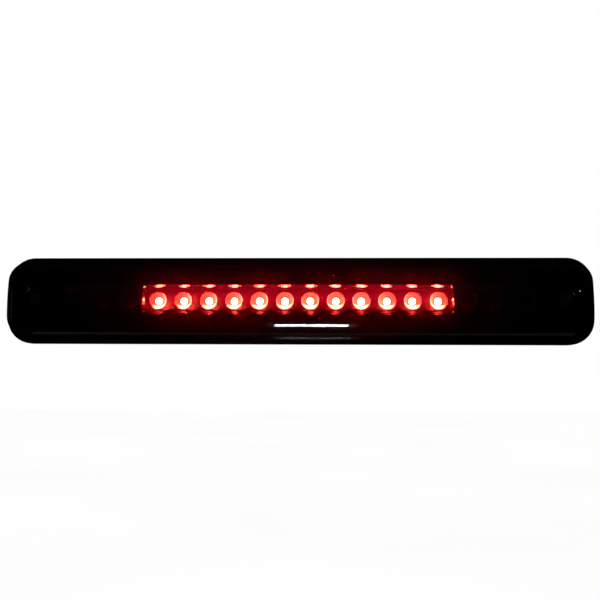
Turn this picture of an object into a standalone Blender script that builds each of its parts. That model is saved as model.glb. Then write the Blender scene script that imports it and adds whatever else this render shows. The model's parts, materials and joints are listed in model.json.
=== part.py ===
"""Third brake light for the back of a pickup cab, as an assembly of separate pieces at real size.

Frame, in metres: +X to the right as seen from behind the vehicle, +Y into the cab, +Z up. The origin is the
centre of the lamp's outline on the face of the cab, the plane that the gasket presses on, so the lens stands
out towards -Y and the tub of the housing reaches through the cab's opening towards +Y.

A smoked lens is bonded into a groove round the housing. Behind it a black bezel frames three metallised
reflectors: twelve red lamps in the middle and three white cargo lamps at each side, on three circuit boards.
Two tapping screws, each in a well at one end, hold the lamp to the cab.
"""

import math

import bmesh
import bpy
from mathutils import Vector

# ---- Driving dimensions ------------------------------------------------------------------------------------
LAMP_WIDTH = 0.424
LAMP_HEIGHT = 0.0630
LAMP_CORNER = 0.0185
GAP = 0.0003  # left between pieces that touch
OVERLAP = 0.001  # how far a cutter or an added shape reaches past the face it starts from

LED_PITCH = 0.0185
BRAKE_LED_COUNT = 12
CARGO_LED_COUNT = 3
FIRST_CARGO_LED_X = 0.1233

SCREW_X = 0.190  # of each mounting screw, left and right of the middle
INLET_X = 0.060
VENT_X = -0.060

# ---- Depths along Y, from the cab's face at 0 --------------------------------------------------------------
GASKET_THICK = 0.0030
FLANGE_BACK = -GASKET_THICK - GAP
FLANGE_THICK = 0.0025
FLANGE_FRONT = FLANGE_BACK - FLANGE_THICK
LIP_FRONT = FLANGE_FRONT - 0.0035
SEALANT_THICK = 0.0008
LENS_BASE = FLANGE_FRONT - GAP - SEALANT_THICK - GAP
LENS_APEX = -0.0270
LENS_THICK = 0.0024
BEZEL_FRONT = -0.0180
BEZEL_THICK = 0.0020
TROUGH_FRONT = BEZEL_FRONT + BEZEL_THICK + GAP
TROUGH_FLOOR = TROUGH_FRONT + 0.0055
CUP_BASE = TROUGH_FLOOR + 0.0050
REFLECTOR_WALL = 0.0012
LED_TIP = TROUGH_FLOOR + 0.0026
LED_LENGTH = 0.0086
BOARD_FRONT = LED_TIP + LED_LENGTH + GAP
BOARD_THICK = 0.0016
BOARD_BACK = BOARD_FRONT + BOARD_THICK
TUB_BACK = 0.0160
TUB_WALL = 0.0022
TUB_FLOOR = TUB_BACK - TUB_WALL

# ---- Sections in the XZ plane, as insets from the lamp's outline -------------------------------------------
LIP_WALL = 0.0015
LENS_INSET = LIP_WALL + GAP
INNER_LIP_INSET = LENS_INSET + LENS_THICK + GAP
LENS_DRAFT = 0.0019
LENS_FILLET = 0.0045
LENS_CROWN_RADIUS = 0.120  # of the lens face, top to bottom
LENS_BOW_RADIUS = 8.0  # of the lens face, end to end
BEZEL_INSET = 0.0072
BEZEL_SKIRT_WALL = 0.0020
PLATEAU_INSET = 0.0105

TUB_HALF = Vector((0.172, 0.0222))
TUB_CORNER = 0.012
TUB_DRAFT = 0.0008
RIB_PLACES = (0.015, 0.105, 0.150)  # the x of each, repeated on the other side
RIB_THICK, RIB_HEIGHT, RIB_HALF_LENGTH = 0.0012, 0.0018, 0.0175
GASKET_INSET = 0.0015
GASKET_CLEARANCE = 0.0006
BRAKE_OPENING = Vector((0.1115, 0.0108))  # half size of the trough's mouth
CARGO_OPENING = Vector((0.0275, 0.0108))
CARGO_MIDDLE_X = 0.1418
TROUGH_CORNER = 0.0034
TROUGH_END_DRAFT = 0.0016  # the trough narrows by this at each end, mouth to floor
TROUGH_TOP_DRAFT = 0.00245
TROUGH_UNDER_DRAFT = 0.0036
TROUGH_RIM = 0.0010
TROUGH_WALL = 0.0008
CUP_RIM_RADIUS = 0.0061
CUP_BASE_RADIUS = 0.0030
LED_RADIUS = 0.0025
LED_FLANGE_RADIUS = 0.0029
LED_FLANGE_THICK = 0.0010
LED_HOLE_RADIUS = LED_RADIUS + 0.00035

# ---- Fastenings --------------------------------------------------------------------------------------------
WELL_MOUTH_RADIUS = 0.0084
WELL_SEAT_RADIUS = 0.0076
WELL_WALL = 0.0020
WELL_LIP = 0.0008  # the chamfer round each well's mouth
WELL_CLEARANCE = 0.0005  # between a well and the bezel
WELL_SEAT = -0.0095  # the depth of the floor that the screw sleeve bears on
WELL_BOTTOM = -0.0070
SLEEVE_RADIUS = 0.0040
SLEEVE_BORE = 0.0028
SLEEVE_END = -0.0004
SLEEVE_HEAD_RADIUS = 0.0055
SLEEVE_HEAD_THICK = 0.0010
WASHER_THICK = 0.0012
WASHER_RADIUS = 0.0054
SCREW_RADIUS = 0.0024
SCREW_HEAD_RADIUS = 0.0049
SCREW_HEAD_THICK = 0.0030
SCREW_TIP = 0.0142
SCREW_POINT = 0.0050
CROSS_ARM, CROSS_HALF, CROSS_DEPTH, CROSS_TAPER = 0.0026, 0.0005, 0.0018, 0.55

PILLAR_X, PILLAR_Z = 0.130, 0.0155
PILLAR_RADIUS = 0.0032
PILLAR_END = 0.0072
PILOT_DEPTH = 0.0112
BOSS_RADIUS = 0.0052
BEZEL_SCREW_SEAT = 0.0105
BEZEL_SCREW_LENGTH = 0.0120
BOARD_SCREW_LENGTH = 0.0065
COUNTERBORE_RADIUS = 0.0037
SMALL_SCREW_RADIUS = 0.0014
SMALL_HOLE_RADIUS = SMALL_SCREW_RADIUS + GAP
SMALL_HEAD_RADIUS = 0.0028
SMALL_HEAD_THICK = 0.0020
BRAKE_POST_X = 4 * LED_PITCH
CARGO_POST_X = FIRST_CARGO_LED_X + LED_PITCH / 2
POST_RADIUS = 0.00275

BRAKE_BOARD_HALF = Vector((0.1090, 0.0095))
CARGO_BOARD_HALF = Vector((0.0255, 0.0095))
BOARD_CORNER = 0.0015
RESISTOR_HALF = Vector((0.0032, 0.0016))
RESISTOR_THICK, RESISTOR_Z = 0.0008, 0.0050
BRAKE_RESISTOR_PLACES = (-0.090, -0.045, 0.018, 0.099)
CARGO_RESISTOR_X = 0.146

# ---- Power inlet -------------------------------------------------------------------------------------------
INLET_PLUG_HALF = Vector((0.0105, 0.0055))
INLET_FLANGE_HALF = Vector((0.0155, 0.0095))
INLET_SHROUD_HALF = Vector((0.0125, 0.0068))
INLET_CAVITY_HALF = Vector((0.0109, 0.0052))
INLET_PLUG_CORNER, INLET_FLANGE_CORNER = 0.0012, 0.0030
INLET_SHROUD_CORNER, INLET_CAVITY_CORNER = 0.0020, 0.0010
INLET_SEAL_THICK, INLET_SEAL_INSET = 0.0010, 0.0008
INLET_PLUG_FRONT = 0.0112
INLET_FLANGE_FRONT = TUB_BACK + GAP + INLET_SEAL_THICK + GAP
INLET_FLANGE_BACK = INLET_FLANGE_FRONT + 0.0022
INLET_CAVITY_FLOOR = INLET_FLANGE_FRONT + 0.0012
INLET_MOUTH = 0.0310
BLADE_HALF = Vector((0.0014, 0.0004))
BLADE_SPACING = 0.0060
BLADE_CHAMFER = 0.0002
BLADE_FRONT, BLADE_BACK = 0.0090, 0.0275

# ---- Vent --------------------------------------------------------------------------------------------------
VENT_STEM_RADIUS, VENT_STEM_FRONT = 0.0022, 0.0120
VENT_CAP_RADIUS, VENT_CAP_THICK = 0.0060, 0.0036

# ---- Smoothness of round shapes ----------------------------------------------------------------------------
CORNER_STEPS = 5
LONG_SIDE_STEPS = 7
TURN_STEPS = 16
HIDDEN_TURN_STEPS = 10
LED_TURN_STEPS = 10
WIRE_STEPS = 2
WIRE_RADIUS = 0.0008

# name: (red, green, blue), roughness, metallic, alpha
FINISHES = {
    "smoked_polycarbonate": ((0.012, 0.011, 0.012), 0.06, 0.0, 0.8),
    "black_abs": ((0.014, 0.014, 0.015), 0.45, 0.0, 1.0),
    "gloss_black": ((0.010, 0.010, 0.011), 0.20, 0.0, 1.0),
    "metallised": ((0.86, 0.86, 0.88), 0.08, 1.0, 1.0),
    "circuit_board": ((0.82, 0.84, 0.82), 0.40, 0.0, 1.0),
    "red_led": ((0.95, 0.06, 0.03), 0.10, 0.0, 1.0),
    "clear_led": ((0.85, 0.87, 0.88), 0.08, 0.0, 1.0),
    "foam": ((0.025, 0.025, 0.026), 0.95, 0.0, 1.0),
    "rubber": ((0.020, 0.020, 0.020), 0.80, 0.0, 1.0),
    "sealant": ((0.05, 0.05, 0.05), 0.60, 0.0, 1.0),
    "zinc_steel": ((0.62, 0.63, 0.65), 0.28, 1.0, 1.0),
    "tinned_brass": ((0.75, 0.70, 0.55), 0.25, 1.0, 1.0),
    "resistor": ((0.030, 0.030, 0.032), 0.35, 0.0, 1.0),
    "red_insulation": ((0.55, 0.03, 0.03), 0.45, 0.0, 1.0),
    "white_insulation": ((0.80, 0.80, 0.78), 0.45, 0.0, 1.0),
    "black_insulation": ((0.020, 0.020, 0.020), 0.45, 0.0, 1.0),
}


# ---- Making objects ----------------------------------------------------------------------------------------
def clear_scene():
    for obj in list(bpy.data.objects):
        bpy.data.objects.remove(obj)


def finish(name):
    """The Principled material of that name, made once."""
    material = bpy.data.materials.get(name)
    if material is None:
        colour, roughness, metallic, alpha = FINISHES[name]
        material = bpy.data.materials.new(name)
        material.use_nodes = True
        shader = material.node_tree.nodes["Principled BSDF"]
        shader.inputs["Base Color"].default_value = (*colour, 1.0)
        shader.inputs["Roughness"].default_value = roughness
        shader.inputs["Metallic"].default_value = metallic
        shader.inputs["Alpha"].default_value = alpha
        material.diffuse_color = (*colour, alpha)
    return material


def add_empty(name, location=(0, 0, 0), parent=None):
    empty = bpy.data.objects.new(name, None)
    empty.empty_display_size = 0.01
    empty.parent = parent
    empty.location = location
    bpy.context.scene.collection.objects.link(empty)
    return empty


def add_object(name, bm, finish_name, parent, location=(0, 0, 0)):
    """Closes the bmesh into an object with its faces out, smooth on its round sides."""
    bmesh.ops.recalc_face_normals(bm, faces=bm.faces)
    mesh = bpy.data.meshes.new(name)
    bm.to_mesh(mesh)
    bm.free()
    mesh.shade_smooth()
    mesh.set_sharp_from_angle(angle=math.radians(35))
    mesh.materials.append(finish(finish_name))
    obj = bpy.data.objects.new(name, mesh)
    obj.parent = parent
    obj.location = location
    bpy.context.scene.collection.objects.link(obj)
    return obj


def boolean(target, name, operation, bm):
    """Adds the bmesh to the target, or cuts it out, by a live Boolean whose tool is a hidden helper."""
    tool = add_object(name, bm, "black_abs", target.parent, target.location)
    tool.hide_render = True
    tool.display_type = "WIRE"
    modifier = target.modifiers.new(name, "BOOLEAN")
    modifier.operation = operation
    modifier.solver = "EXACT"
    modifier.object = tool


# ---- Shapes ------------------------------------------------------------------------------------------------
def outline(half, corner, side_points=0):
    """(x, z) points of a rounded rectangle, anticlockwise from the right end of its upper right corner.

    side_points is the number of points between the corners on each long side.
    """
    points = []
    for quarter, (sx, sz) in enumerate(((1, 1), (-1, 1), (-1, -1), (1, -1))):
        for step in range(CORNER_STEPS + 1):
            angle = math.pi / 2 * (quarter + step / CORNER_STEPS)
            points.append(
                (
                    sx * (half[0] - corner) + corner * math.cos(angle),
                    sz * (half[1] - corner) + corner * math.sin(angle),
                )
            )
        if quarter in (0, 2):
            start = points[-1]
            for step in range(1, side_points + 1):
                share = step / (side_points + 1)
                points.append((start[0] * (1 - 2 * share), start[1]))
    return points


def ring(half, corner, y, centre=(0.0, 0.0)):
    """A flat ring of 3-D points: a rounded rectangle at depth y."""
    return [(centre[0] + x, y, centre[1] + z) for x, z in outline(half, corner)]


def lamp_section(inset, depth, side_points=LONG_SIDE_STEPS):
    """A ring of 3-D points: the lamp's outline, inset, at the depth that depth(x, z) gives."""
    half = (LAMP_WIDTH / 2 - inset, LAMP_HEIGHT / 2 - inset)
    corner = max(LAMP_CORNER - inset, min(half[1], 0.0015))
    return [(x, depth(x, z), z) for x, z in outline(half, corner, side_points)]


def lamp_ring(inset, y):
    """A flat ring of 3-D points: the lamp's outline, inset, at depth y."""
    return lamp_section(inset, lambda x, z: y, side_points=0)


def loft(bm, rings, ends="flat"):
    """A closed body through the rings, in order.

    ends is "flat" for one face across each end, "crossed" for strips from the upper half of an end's ring to
    its lower half, where that ring is not flat, or "joined" for a ring-shaped body, last ring to first.
    """
    loops = [[bm.verts.new(point) for point in points] for points in rings]
    count = len(loops[0])
    followers = loops[1:] + (loops[:1] if ends == "joined" else [])
    for near, far in zip(loops, followers):
        for i in range(count):
            j = (i + 1) % count
            bm.faces.new((near[i], near[j], far[j], far[i]))
    for loop in (loops[0], loops[-1]):
        if ends == "flat":
            bm.faces.new(loop)
        elif ends == "crossed":
            for i in range(count // 2 - 1):
                bm.faces.new((loop[i], loop[i + 1], loop[-2 - i], loop[-1 - i]))
    return bm


def turn(bm, profile, steps=TURN_STEPS, centre=(0.0, 0.0)):
    """A closed body turned round the Y direction through centre (x, z), from a (radius, y) profile."""
    x, z = centre
    verts = [bm.verts.new((x + radius, y, z)) for radius, y in profile]
    edges = [bm.edges.new(pair) for pair in zip(verts, verts[1:])]
    bmesh.ops.spin(
        bm,
        geom=verts + edges,
        cent=(x, 0, z),
        axis=(0, 1, 0),
        angle=math.tau,
        steps=steps,
        use_merge=True,
    )
    bmesh.ops.remove_doubles(bm, verts=bm.verts, dist=1e-6)
    return bm


def rod(bm, radius, front, back, centre=(0.0, 0.0), steps=TURN_STEPS):
    """A cylinder along Y through centre (x, z)."""
    return turn(bm, ((0, front), (radius, front), (radius, back), (0, back)), steps, centre)


def block(bm, low, high):
    """A box between two corners."""
    verts = bmesh.ops.create_cube(bm, size=1.0)["verts"]
    low, high = Vector(low), Vector(high)
    for vert in verts:
        vert.co = (low + high) / 2 + vert.co * (high - low)
    return bm


def smooth_route(points, steps):
    """Points along a smooth curve through the given points, by Catmull-Rom."""
    points = [Vector(p) for p in points]
    padded = [2 * points[0] - points[1], *points, 2 * points[-1] - points[-2]]
    found = []
    for a, b, c, d in zip(padded, padded[1:], padded[2:], padded[3:]):
        for step in range(steps):
            t = step / steps
            bend = 2 * a - 5 * b + 4 * c - d
            twist = 3 * b - a - 3 * c + d
            found.append(0.5 * (2 * b + (c - a) * t + bend * t**2 + twist * t**3))
    return [*found, points[-1]]


def wire(name, points, finish_name, parent):
    """An insulated wire through the points, as a curve with a round section and closed ends."""
    route = smooth_route(points, WIRE_STEPS)
    curve = bpy.data.curves.new(name, "CURVE")
    curve.dimensions = "3D"
    spline = curve.splines.new("POLY")
    spline.points.add(len(route) - 1)
    for spline_point, place in zip(spline.points, route):
        spline_point.co = (*place, 1.0)
    curve.bevel_depth = WIRE_RADIUS
    curve.bevel_resolution = 2
    curve.use_fill_caps = True
    curve.materials.append(finish(finish_name))
    obj = bpy.data.objects.new(name, curve)
    obj.parent = parent
    bpy.context.scene.collection.objects.link(obj)
    return obj


# ---- Lens --------------------------------------------------------------------------------------------------
def lens_face(x, z):
    """The depth of the lens's outer face: crowned top to bottom and bowed end to end."""
    return LENS_APEX + z**2 / (2 * LENS_CROWN_RADIUS) + x**2 / (2 * LENS_BOW_RADIUS)


def lens_rings(shift):
    """Rings of the lens's skin, middle to base: the outer skin at shift 0, the inner a wall further in."""
    rings = []
    shoulder = LENS_INSET + LENS_DRAFT + shift
    fillet = LENS_FILLET - shift
    for inset in (0.0310, 0.0262, 0.0205, 0.0145):
        rings.append(lamp_section(inset, lambda x, z: lens_face(x, z) + shift))
    for share in (1.0, 0.7, 0.4, 0.0):
        angle = share * math.pi / 2
        rings.append(
            lamp_section(
                shoulder + fillet * (1 - math.cos(angle)),
                lambda x, z: lens_face(x, z) + shift + fillet * (1 - math.sin(angle)),
            )
        )
    rings.append(lamp_section(LENS_INSET + shift, lambda x, z: LIP_FRONT - GAP))
    rings.append(lamp_section(LENS_INSET + shift, lambda x, z: LENS_BASE))
    return rings


def make_lens(parent):
    bm = loft(bmesh.new(), lens_rings(0.0) + lens_rings(LENS_THICK)[::-1], "crossed")
    lens = add_object("lens", bm, "smoked_polycarbonate", parent)
    mid_wall = lens_face(SCREW_X, 0) + LENS_THICK / 2
    mouth = lens_face(SCREW_X, 0)
    tunnels, bores = bmesh.new(), bmesh.new()
    for side in (-1, 1):
        centre = (side * SCREW_X, 0.0)
        turn(
            tunnels,
            (
                (0, mid_wall),
                (WELL_MOUTH_RADIUS + WELL_WALL, mid_wall),
                (WELL_SEAT_RADIUS + WELL_WALL, WELL_BOTTOM),
                (0, WELL_BOTTOM),
            ),
            centre=centre,
        )
        turn(
            bores,
            (
                (0, mouth - 4 * OVERLAP),
                (WELL_MOUTH_RADIUS + WELL_LIP, mouth - 4 * OVERLAP),
                (WELL_MOUTH_RADIUS + WELL_LIP, mouth),
                (WELL_MOUTH_RADIUS, mouth + WELL_LIP),
                (WELL_SEAT_RADIUS, WELL_SEAT),
                (SLEEVE_RADIUS + GAP, WELL_SEAT),
                (SLEEVE_RADIUS + GAP, WELL_BOTTOM + OVERLAP),
                (0, WELL_BOTTOM + OVERLAP),
            ),
            centre=centre,
        )
    boolean(lens, "lens_well_tunnels", "UNION", tunnels)
    boolean(lens, "lens_well_bores", "DIFFERENCE", bores)


def make_lens_seal(parent):
    """The bead of sealant in the groove, under the lens's edge."""
    back = FLANGE_FRONT - GAP
    front = back - SEALANT_THICK
    outer, inner = LENS_INSET, LENS_INSET + LENS_THICK
    rings = [lamp_ring(*place) for place in ((outer, front), (outer, back), (inner, back), (inner, front))]
    add_object("lens_seal", loft(bmesh.new(), rings, "joined"), "sealant", parent)


# ---- Housing and gasket ------------------------------------------------------------------------------------
def make_housing(parent):
    def tub(y, shrink):
        return ring(TUB_HALF - Vector((shrink, shrink)), TUB_CORNER - shrink, y)

    inner_lip_end = INNER_LIP_INSET + LIP_WALL
    rings = [
        tub(TUB_BACK, TUB_DRAFT),
        tub(FLANGE_BACK, 0),
        lamp_ring(0, FLANGE_BACK),
        lamp_ring(0, LIP_FRONT),
        lamp_ring(LIP_WALL, LIP_FRONT),
        lamp_ring(LIP_WALL, FLANGE_FRONT),
        lamp_ring(INNER_LIP_INSET, FLANGE_FRONT),
        lamp_ring(INNER_LIP_INSET, LIP_FRONT),
        lamp_ring(inner_lip_end, LIP_FRONT),
        lamp_ring(inner_lip_end, FLANGE_FRONT),
        tub(FLANGE_FRONT, TUB_WALL),
        tub(TUB_FLOOR, TUB_WALL + TUB_DRAFT),
    ]
    housing = add_object("housing", loft(bmesh.new(), rings), "black_abs", parent)
    boolean(housing, "housing_bosses", "UNION", housing_bosses())
    boolean(housing, "housing_ribs", "UNION", housing_ribs())
    boolean(housing, "housing_holes", "DIFFERENCE", housing_holes())


def screw_seats():
    """The x of both mounting screws."""
    return (-SCREW_X, SCREW_X)


def pillar_places():
    """(x, z) of the four pillars that hold the bezel to the housing."""
    return [(sx * PILLAR_X, sz * PILLAR_Z) for sx in (-1, 1) for sz in (-1, 1)]


def housing_bosses():
    """A low pad under each lens well, and a boss inside the tub's back for each bezel screw."""
    bm = bmesh.new()
    for x in screw_seats():
        rod(bm, WELL_SEAT_RADIUS + WELL_WALL, WELL_BOTTOM + GAP, FLANGE_FRONT + OVERLAP, (x, 0))
    for place in pillar_places():
        rod(bm, BOSS_RADIUS, PILLAR_END + GAP, TUB_BACK - OVERLAP, place)
    return bm


def housing_ribs():
    """Stiffening ribs across the outside of the tub's back, clear of the inlet and the vent."""
    bm = bmesh.new()
    for x in RIB_PLACES:
        for side in (-1, 1):
            low = (side * x - RIB_THICK / 2, TUB_BACK - OVERLAP, -RIB_HALF_LENGTH)
            high = (side * x + RIB_THICK / 2, TUB_BACK + RIB_HEIGHT, RIB_HALF_LENGTH)
            block(bm, low, high)
    return bm


def housing_holes():
    """Sleeve holes, counterbored holes for the bezel screws, the inlet's window and the vent."""
    bm = bmesh.new()
    for x in screw_seats():
        rod(bm, SLEEVE_RADIUS + GAP, WELL_SEAT, OVERLAP, (x, 0))
    for place in pillar_places():
        profile = (
            (0, PILLAR_END - OVERLAP),
            (SMALL_HOLE_RADIUS, PILLAR_END - OVERLAP),
            (SMALL_HOLE_RADIUS, BEZEL_SCREW_SEAT),
            (COUNTERBORE_RADIUS, BEZEL_SCREW_SEAT),
            (COUNTERBORE_RADIUS, TUB_BACK + OVERLAP),
            (0, TUB_BACK + OVERLAP),
        )
        turn(bm, profile, centre=place)
    window = INLET_PLUG_HALF + Vector((GAP, GAP))
    through = (TUB_FLOOR - OVERLAP, TUB_BACK + OVERLAP)
    loft(bm, [ring(window, INLET_PLUG_CORNER, y, (INLET_X, 0)) for y in through])
    rod(bm, VENT_STEM_RADIUS + GAP, *through, (VENT_X, 0))
    return bm


def make_gasket(parent):
    """A foam ring between the flange and the cab, with a hole round each screw's sleeve."""
    clear = TUB_HALF + Vector((GASKET_CLEARANCE, GASKET_CLEARANCE))
    clear_corner = TUB_CORNER + GASKET_CLEARANCE
    rings = [
        lamp_ring(GASKET_INSET, -GASKET_THICK),
        lamp_ring(GASKET_INSET, 0),
        ring(clear, clear_corner, 0),
        ring(clear, clear_corner, -GASKET_THICK),
    ]
    gasket = add_object("mounting_gasket", loft(bmesh.new(), rings, "joined"), "foam", parent)
    holes = bmesh.new()
    for x in screw_seats():
        rod(holes, SLEEVE_HEAD_RADIUS, -GASKET_THICK - OVERLAP, OVERLAP, (x, 0))
    boolean(gasket, "gasket_holes", "DIFFERENCE", holes)


# ---- Bezel and reflectors ----------------------------------------------------------------------------------
def make_bezel(parent):
    """A black frame: a skirt down to the flange, a plateau round the reflectors, and four pillars."""
    skirt_back = FLANGE_FRONT - GAP
    plateau_back = BEZEL_FRONT + BEZEL_THICK
    rings = [
        lamp_ring(PLATEAU_INSET, BEZEL_FRONT),
        lamp_ring(PLATEAU_INSET - 0.0016, BEZEL_FRONT + 0.0008),
        lamp_ring(BEZEL_INSET + 0.0006, BEZEL_FRONT + 0.0030),
        lamp_ring(BEZEL_INSET, skirt_back),
        lamp_ring(BEZEL_INSET + BEZEL_SKIRT_WALL, skirt_back),
        lamp_ring(BEZEL_INSET + BEZEL_SKIRT_WALL + 0.0006, BEZEL_FRONT + 0.0036),
        lamp_ring(PLATEAU_INSET + 0.0008, plateau_back),
    ]
    bezel = add_object("inner_bezel", loft(bmesh.new(), rings), "gloss_black", parent)
    pillars, cuts = bmesh.new(), bmesh.new()
    for place in pillar_places():
        rod(pillars, PILLAR_RADIUS, plateau_back - OVERLAP, PILLAR_END, place)
        rod(cuts, SMALL_HOLE_RADIUS, PILLAR_END - PILOT_DEPTH, PILLAR_END + OVERLAP, place)
    openings = ((BRAKE_OPENING, 0), (CARGO_OPENING, -CARGO_MIDDLE_X), (CARGO_OPENING, CARGO_MIDDLE_X))
    for half, x in openings:
        mouth = half - Vector((GAP, GAP))
        through = (BEZEL_FRONT - OVERLAP, plateau_back + OVERLAP)
        loft(cuts, [ring(mouth, TROUGH_CORNER, y, (x, 0)) for y in through])
    for x in screw_seats():
        rod(cuts, WELL_MOUTH_RADIUS + WELL_WALL + WELL_CLEARANCE, BEZEL_FRONT - OVERLAP, 0, (x, 0))
    boolean(bezel, "bezel_pillars", "UNION", pillars)
    boolean(bezel, "bezel_openings", "DIFFERENCE", cuts)


def make_reflector(name, opening, middle_x, led_places, post_places, parent):
    """A metallised trough with a cone-shaped cup round each lamp and a post behind for each board screw."""
    floor_half = opening - Vector((TROUGH_END_DRAFT, (TROUGH_TOP_DRAFT + TROUGH_UNDER_DRAFT) / 2))
    floor_middle = (TROUGH_UNDER_DRAFT - TROUGH_TOP_DRAFT) / 2
    floor_wall = Vector((REFLECTOR_WALL, REFLECTOR_WALL))
    wall = Vector((TROUGH_WALL, TROUGH_WALL))
    rim = Vector((TROUGH_RIM, TROUGH_RIM))
    floor_back = TROUGH_FLOOR + REFLECTOR_WALL
    rim_back = TROUGH_FRONT + REFLECTOR_WALL
    floor_corner = TROUGH_CORNER - TROUGH_END_DRAFT / 2

    def at(half, corner, y, middle_z=0):
        return ring(half, corner, y, (middle_x, middle_z))

    rings = [
        at(floor_half, floor_corner, TROUGH_FLOOR, floor_middle),
        at(opening, TROUGH_CORNER, TROUGH_FRONT),
        at(opening + rim, TROUGH_CORNER + TROUGH_RIM, TROUGH_FRONT),
        at(opening + rim, TROUGH_CORNER + TROUGH_RIM, rim_back),
        at(opening + wall, TROUGH_CORNER + TROUGH_WALL, rim_back),
        at(floor_half + floor_wall, floor_corner + REFLECTOR_WALL, floor_back, floor_middle),
    ]
    reflector = add_object(name, loft(bmesh.new(), rings), "metallised", parent)
    posts, cones, cuts = bmesh.new(), bmesh.new(), bmesh.new()
    root = TROUGH_FLOOR + REFLECTOR_WALL / 2
    post_end = BOARD_FRONT - GAP
    for x in post_places:
        rod(posts, POST_RADIUS, root, post_end, (x, 0), HIDDEN_TURN_STEPS)
        rod(cuts, SMALL_HOLE_RADIUS, CUP_BASE - OVERLAP, post_end + OVERLAP, (x, 0), HIDDEN_TURN_STEPS)
    cup_back = CUP_BASE + REFLECTOR_WALL
    flare = (CUP_RIM_RADIUS - CUP_BASE_RADIUS) / (CUP_BASE - TROUGH_FLOOR) * OVERLAP
    for x in led_places:
        turn(
            cones,
            (
                (0, root),
                (CUP_RIM_RADIUS + REFLECTOR_WALL, root),
                (CUP_BASE_RADIUS + REFLECTOR_WALL, cup_back),
                (0, cup_back),
            ),
            HIDDEN_TURN_STEPS,
            (x, 0),
        )
        turn(
            cuts,
            (
                (0, TROUGH_FLOOR - OVERLAP),
                (CUP_RIM_RADIUS + flare, TROUGH_FLOOR - OVERLAP),
                (CUP_BASE_RADIUS, CUP_BASE),
                (LED_HOLE_RADIUS, CUP_BASE),
                (LED_HOLE_RADIUS, cup_back + OVERLAP),
                (0, cup_back + OVERLAP),
            ),
            centre=(x, 0),
        )
    boolean(reflector, name + "_posts", "UNION", posts)
    boolean(reflector, name + "_cones", "UNION", cones)
    boolean(reflector, name + "_cuts", "DIFFERENCE", cuts)


# ---- Lamps and circuit boards ------------------------------------------------------------------------------
def led_profile():
    """(radius, y) of a 5 mm lamp from its domed tip to its base."""
    base = LED_TIP + LED_LENGTH
    shoulder = base - LED_FLANGE_THICK
    profile = []
    for angle in (0, math.pi / 6, math.pi / 3, math.pi / 2):
        profile.append((LED_RADIUS * math.sin(angle), LED_TIP + LED_RADIUS * (1 - math.cos(angle))))
    profile += [(LED_RADIUS, shoulder), (LED_FLANGE_RADIUS, shoulder), (LED_FLANGE_RADIUS, base), (0, base)]
    return profile


def make_led(name, x, finish_name, parent):
    add_object(name, turn(bmesh.new(), led_profile(), LED_TURN_STEPS), finish_name, parent, (x, 0, 0))


def make_board(name, half, middle_x, screw_places, parent):
    rings = [ring(half, BOARD_CORNER, y, (middle_x, 0)) for y in (BOARD_FRONT, BOARD_BACK)]
    board = add_object(name, loft(bmesh.new(), rings), "circuit_board", parent)
    holes = bmesh.new()
    for x in screw_places:
        rod(holes, SMALL_HOLE_RADIUS, BOARD_FRONT - OVERLAP, BOARD_BACK + OVERLAP, (x, 0), HIDDEN_TURN_STEPS)
    boolean(board, name + "_holes", "DIFFERENCE", holes)


def make_small_screw(name, place, seat, length, parent):
    """A tapping screw driven from behind: its head rests behind seat and its shank reaches forward."""
    seat += GAP
    tip = seat - length
    profile = (
        (0, tip),
        (SMALL_SCREW_RADIUS * 0.5, tip),
        (SMALL_SCREW_RADIUS, tip + SMALL_SCREW_RADIUS),
        (SMALL_SCREW_RADIUS, seat),
        (SMALL_HEAD_RADIUS, seat),
        (SMALL_HEAD_RADIUS, seat + SMALL_HEAD_THICK * 0.6),
        (SMALL_HEAD_RADIUS * 0.7, seat + SMALL_HEAD_THICK),
        (0, seat + SMALL_HEAD_THICK),
    )
    x, z = place
    add_object(name, turn(bmesh.new(), profile, HIDDEN_TURN_STEPS), "zinc_steel", parent, (x, 0, z))


def make_resistor(name, x, parent):
    """A surface-mount resistor on the back of a board."""
    front = BOARD_BACK + GAP
    low = (-RESISTOR_HALF[0], front, -RESISTOR_HALF[1])
    high = (RESISTOR_HALF[0], front + RESISTOR_THICK, RESISTOR_HALF[1])
    add_object(name, block(bmesh.new(), low, high), "resistor", parent, (x, 0, RESISTOR_Z))


# ---- Mounting screws ---------------------------------------------------------------------------------------
def make_sleeve(name, parent):
    """A flanged steel sleeve in the well's floor, so that the screw does not crush the plastic."""
    head_back = WELL_SEAT - GAP
    head_front = head_back - SLEEVE_HEAD_THICK
    section = (
        (SLEEVE_BORE, head_front),
        (SLEEVE_HEAD_RADIUS, head_front),
        (SLEEVE_HEAD_RADIUS, head_back),
        (SLEEVE_RADIUS, head_back),
        (SLEEVE_RADIUS, SLEEVE_END),
        (SLEEVE_BORE, SLEEVE_END),
    )
    add_object(name, turn_ring(bmesh.new(), section), "zinc_steel", parent)
    return head_front


def turn_ring(bm, section, steps=TURN_STEPS):
    """A closed ring whose (radius, y) section is turned round the Y axis."""
    verts = [bm.verts.new((radius, y, 0)) for radius, y in section]
    edges = [bm.edges.new(pair) for pair in zip(verts, verts[1:] + verts[:1])]
    bmesh.ops.spin(
        bm,
        geom=verts + edges,
        cent=(0, 0, 0),
        axis=(0, 1, 0),
        angle=math.tau,
        steps=steps,
        use_merge=True,
    )
    bmesh.ops.remove_doubles(bm, verts=bm.verts, dist=1e-6)
    return bm


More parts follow.
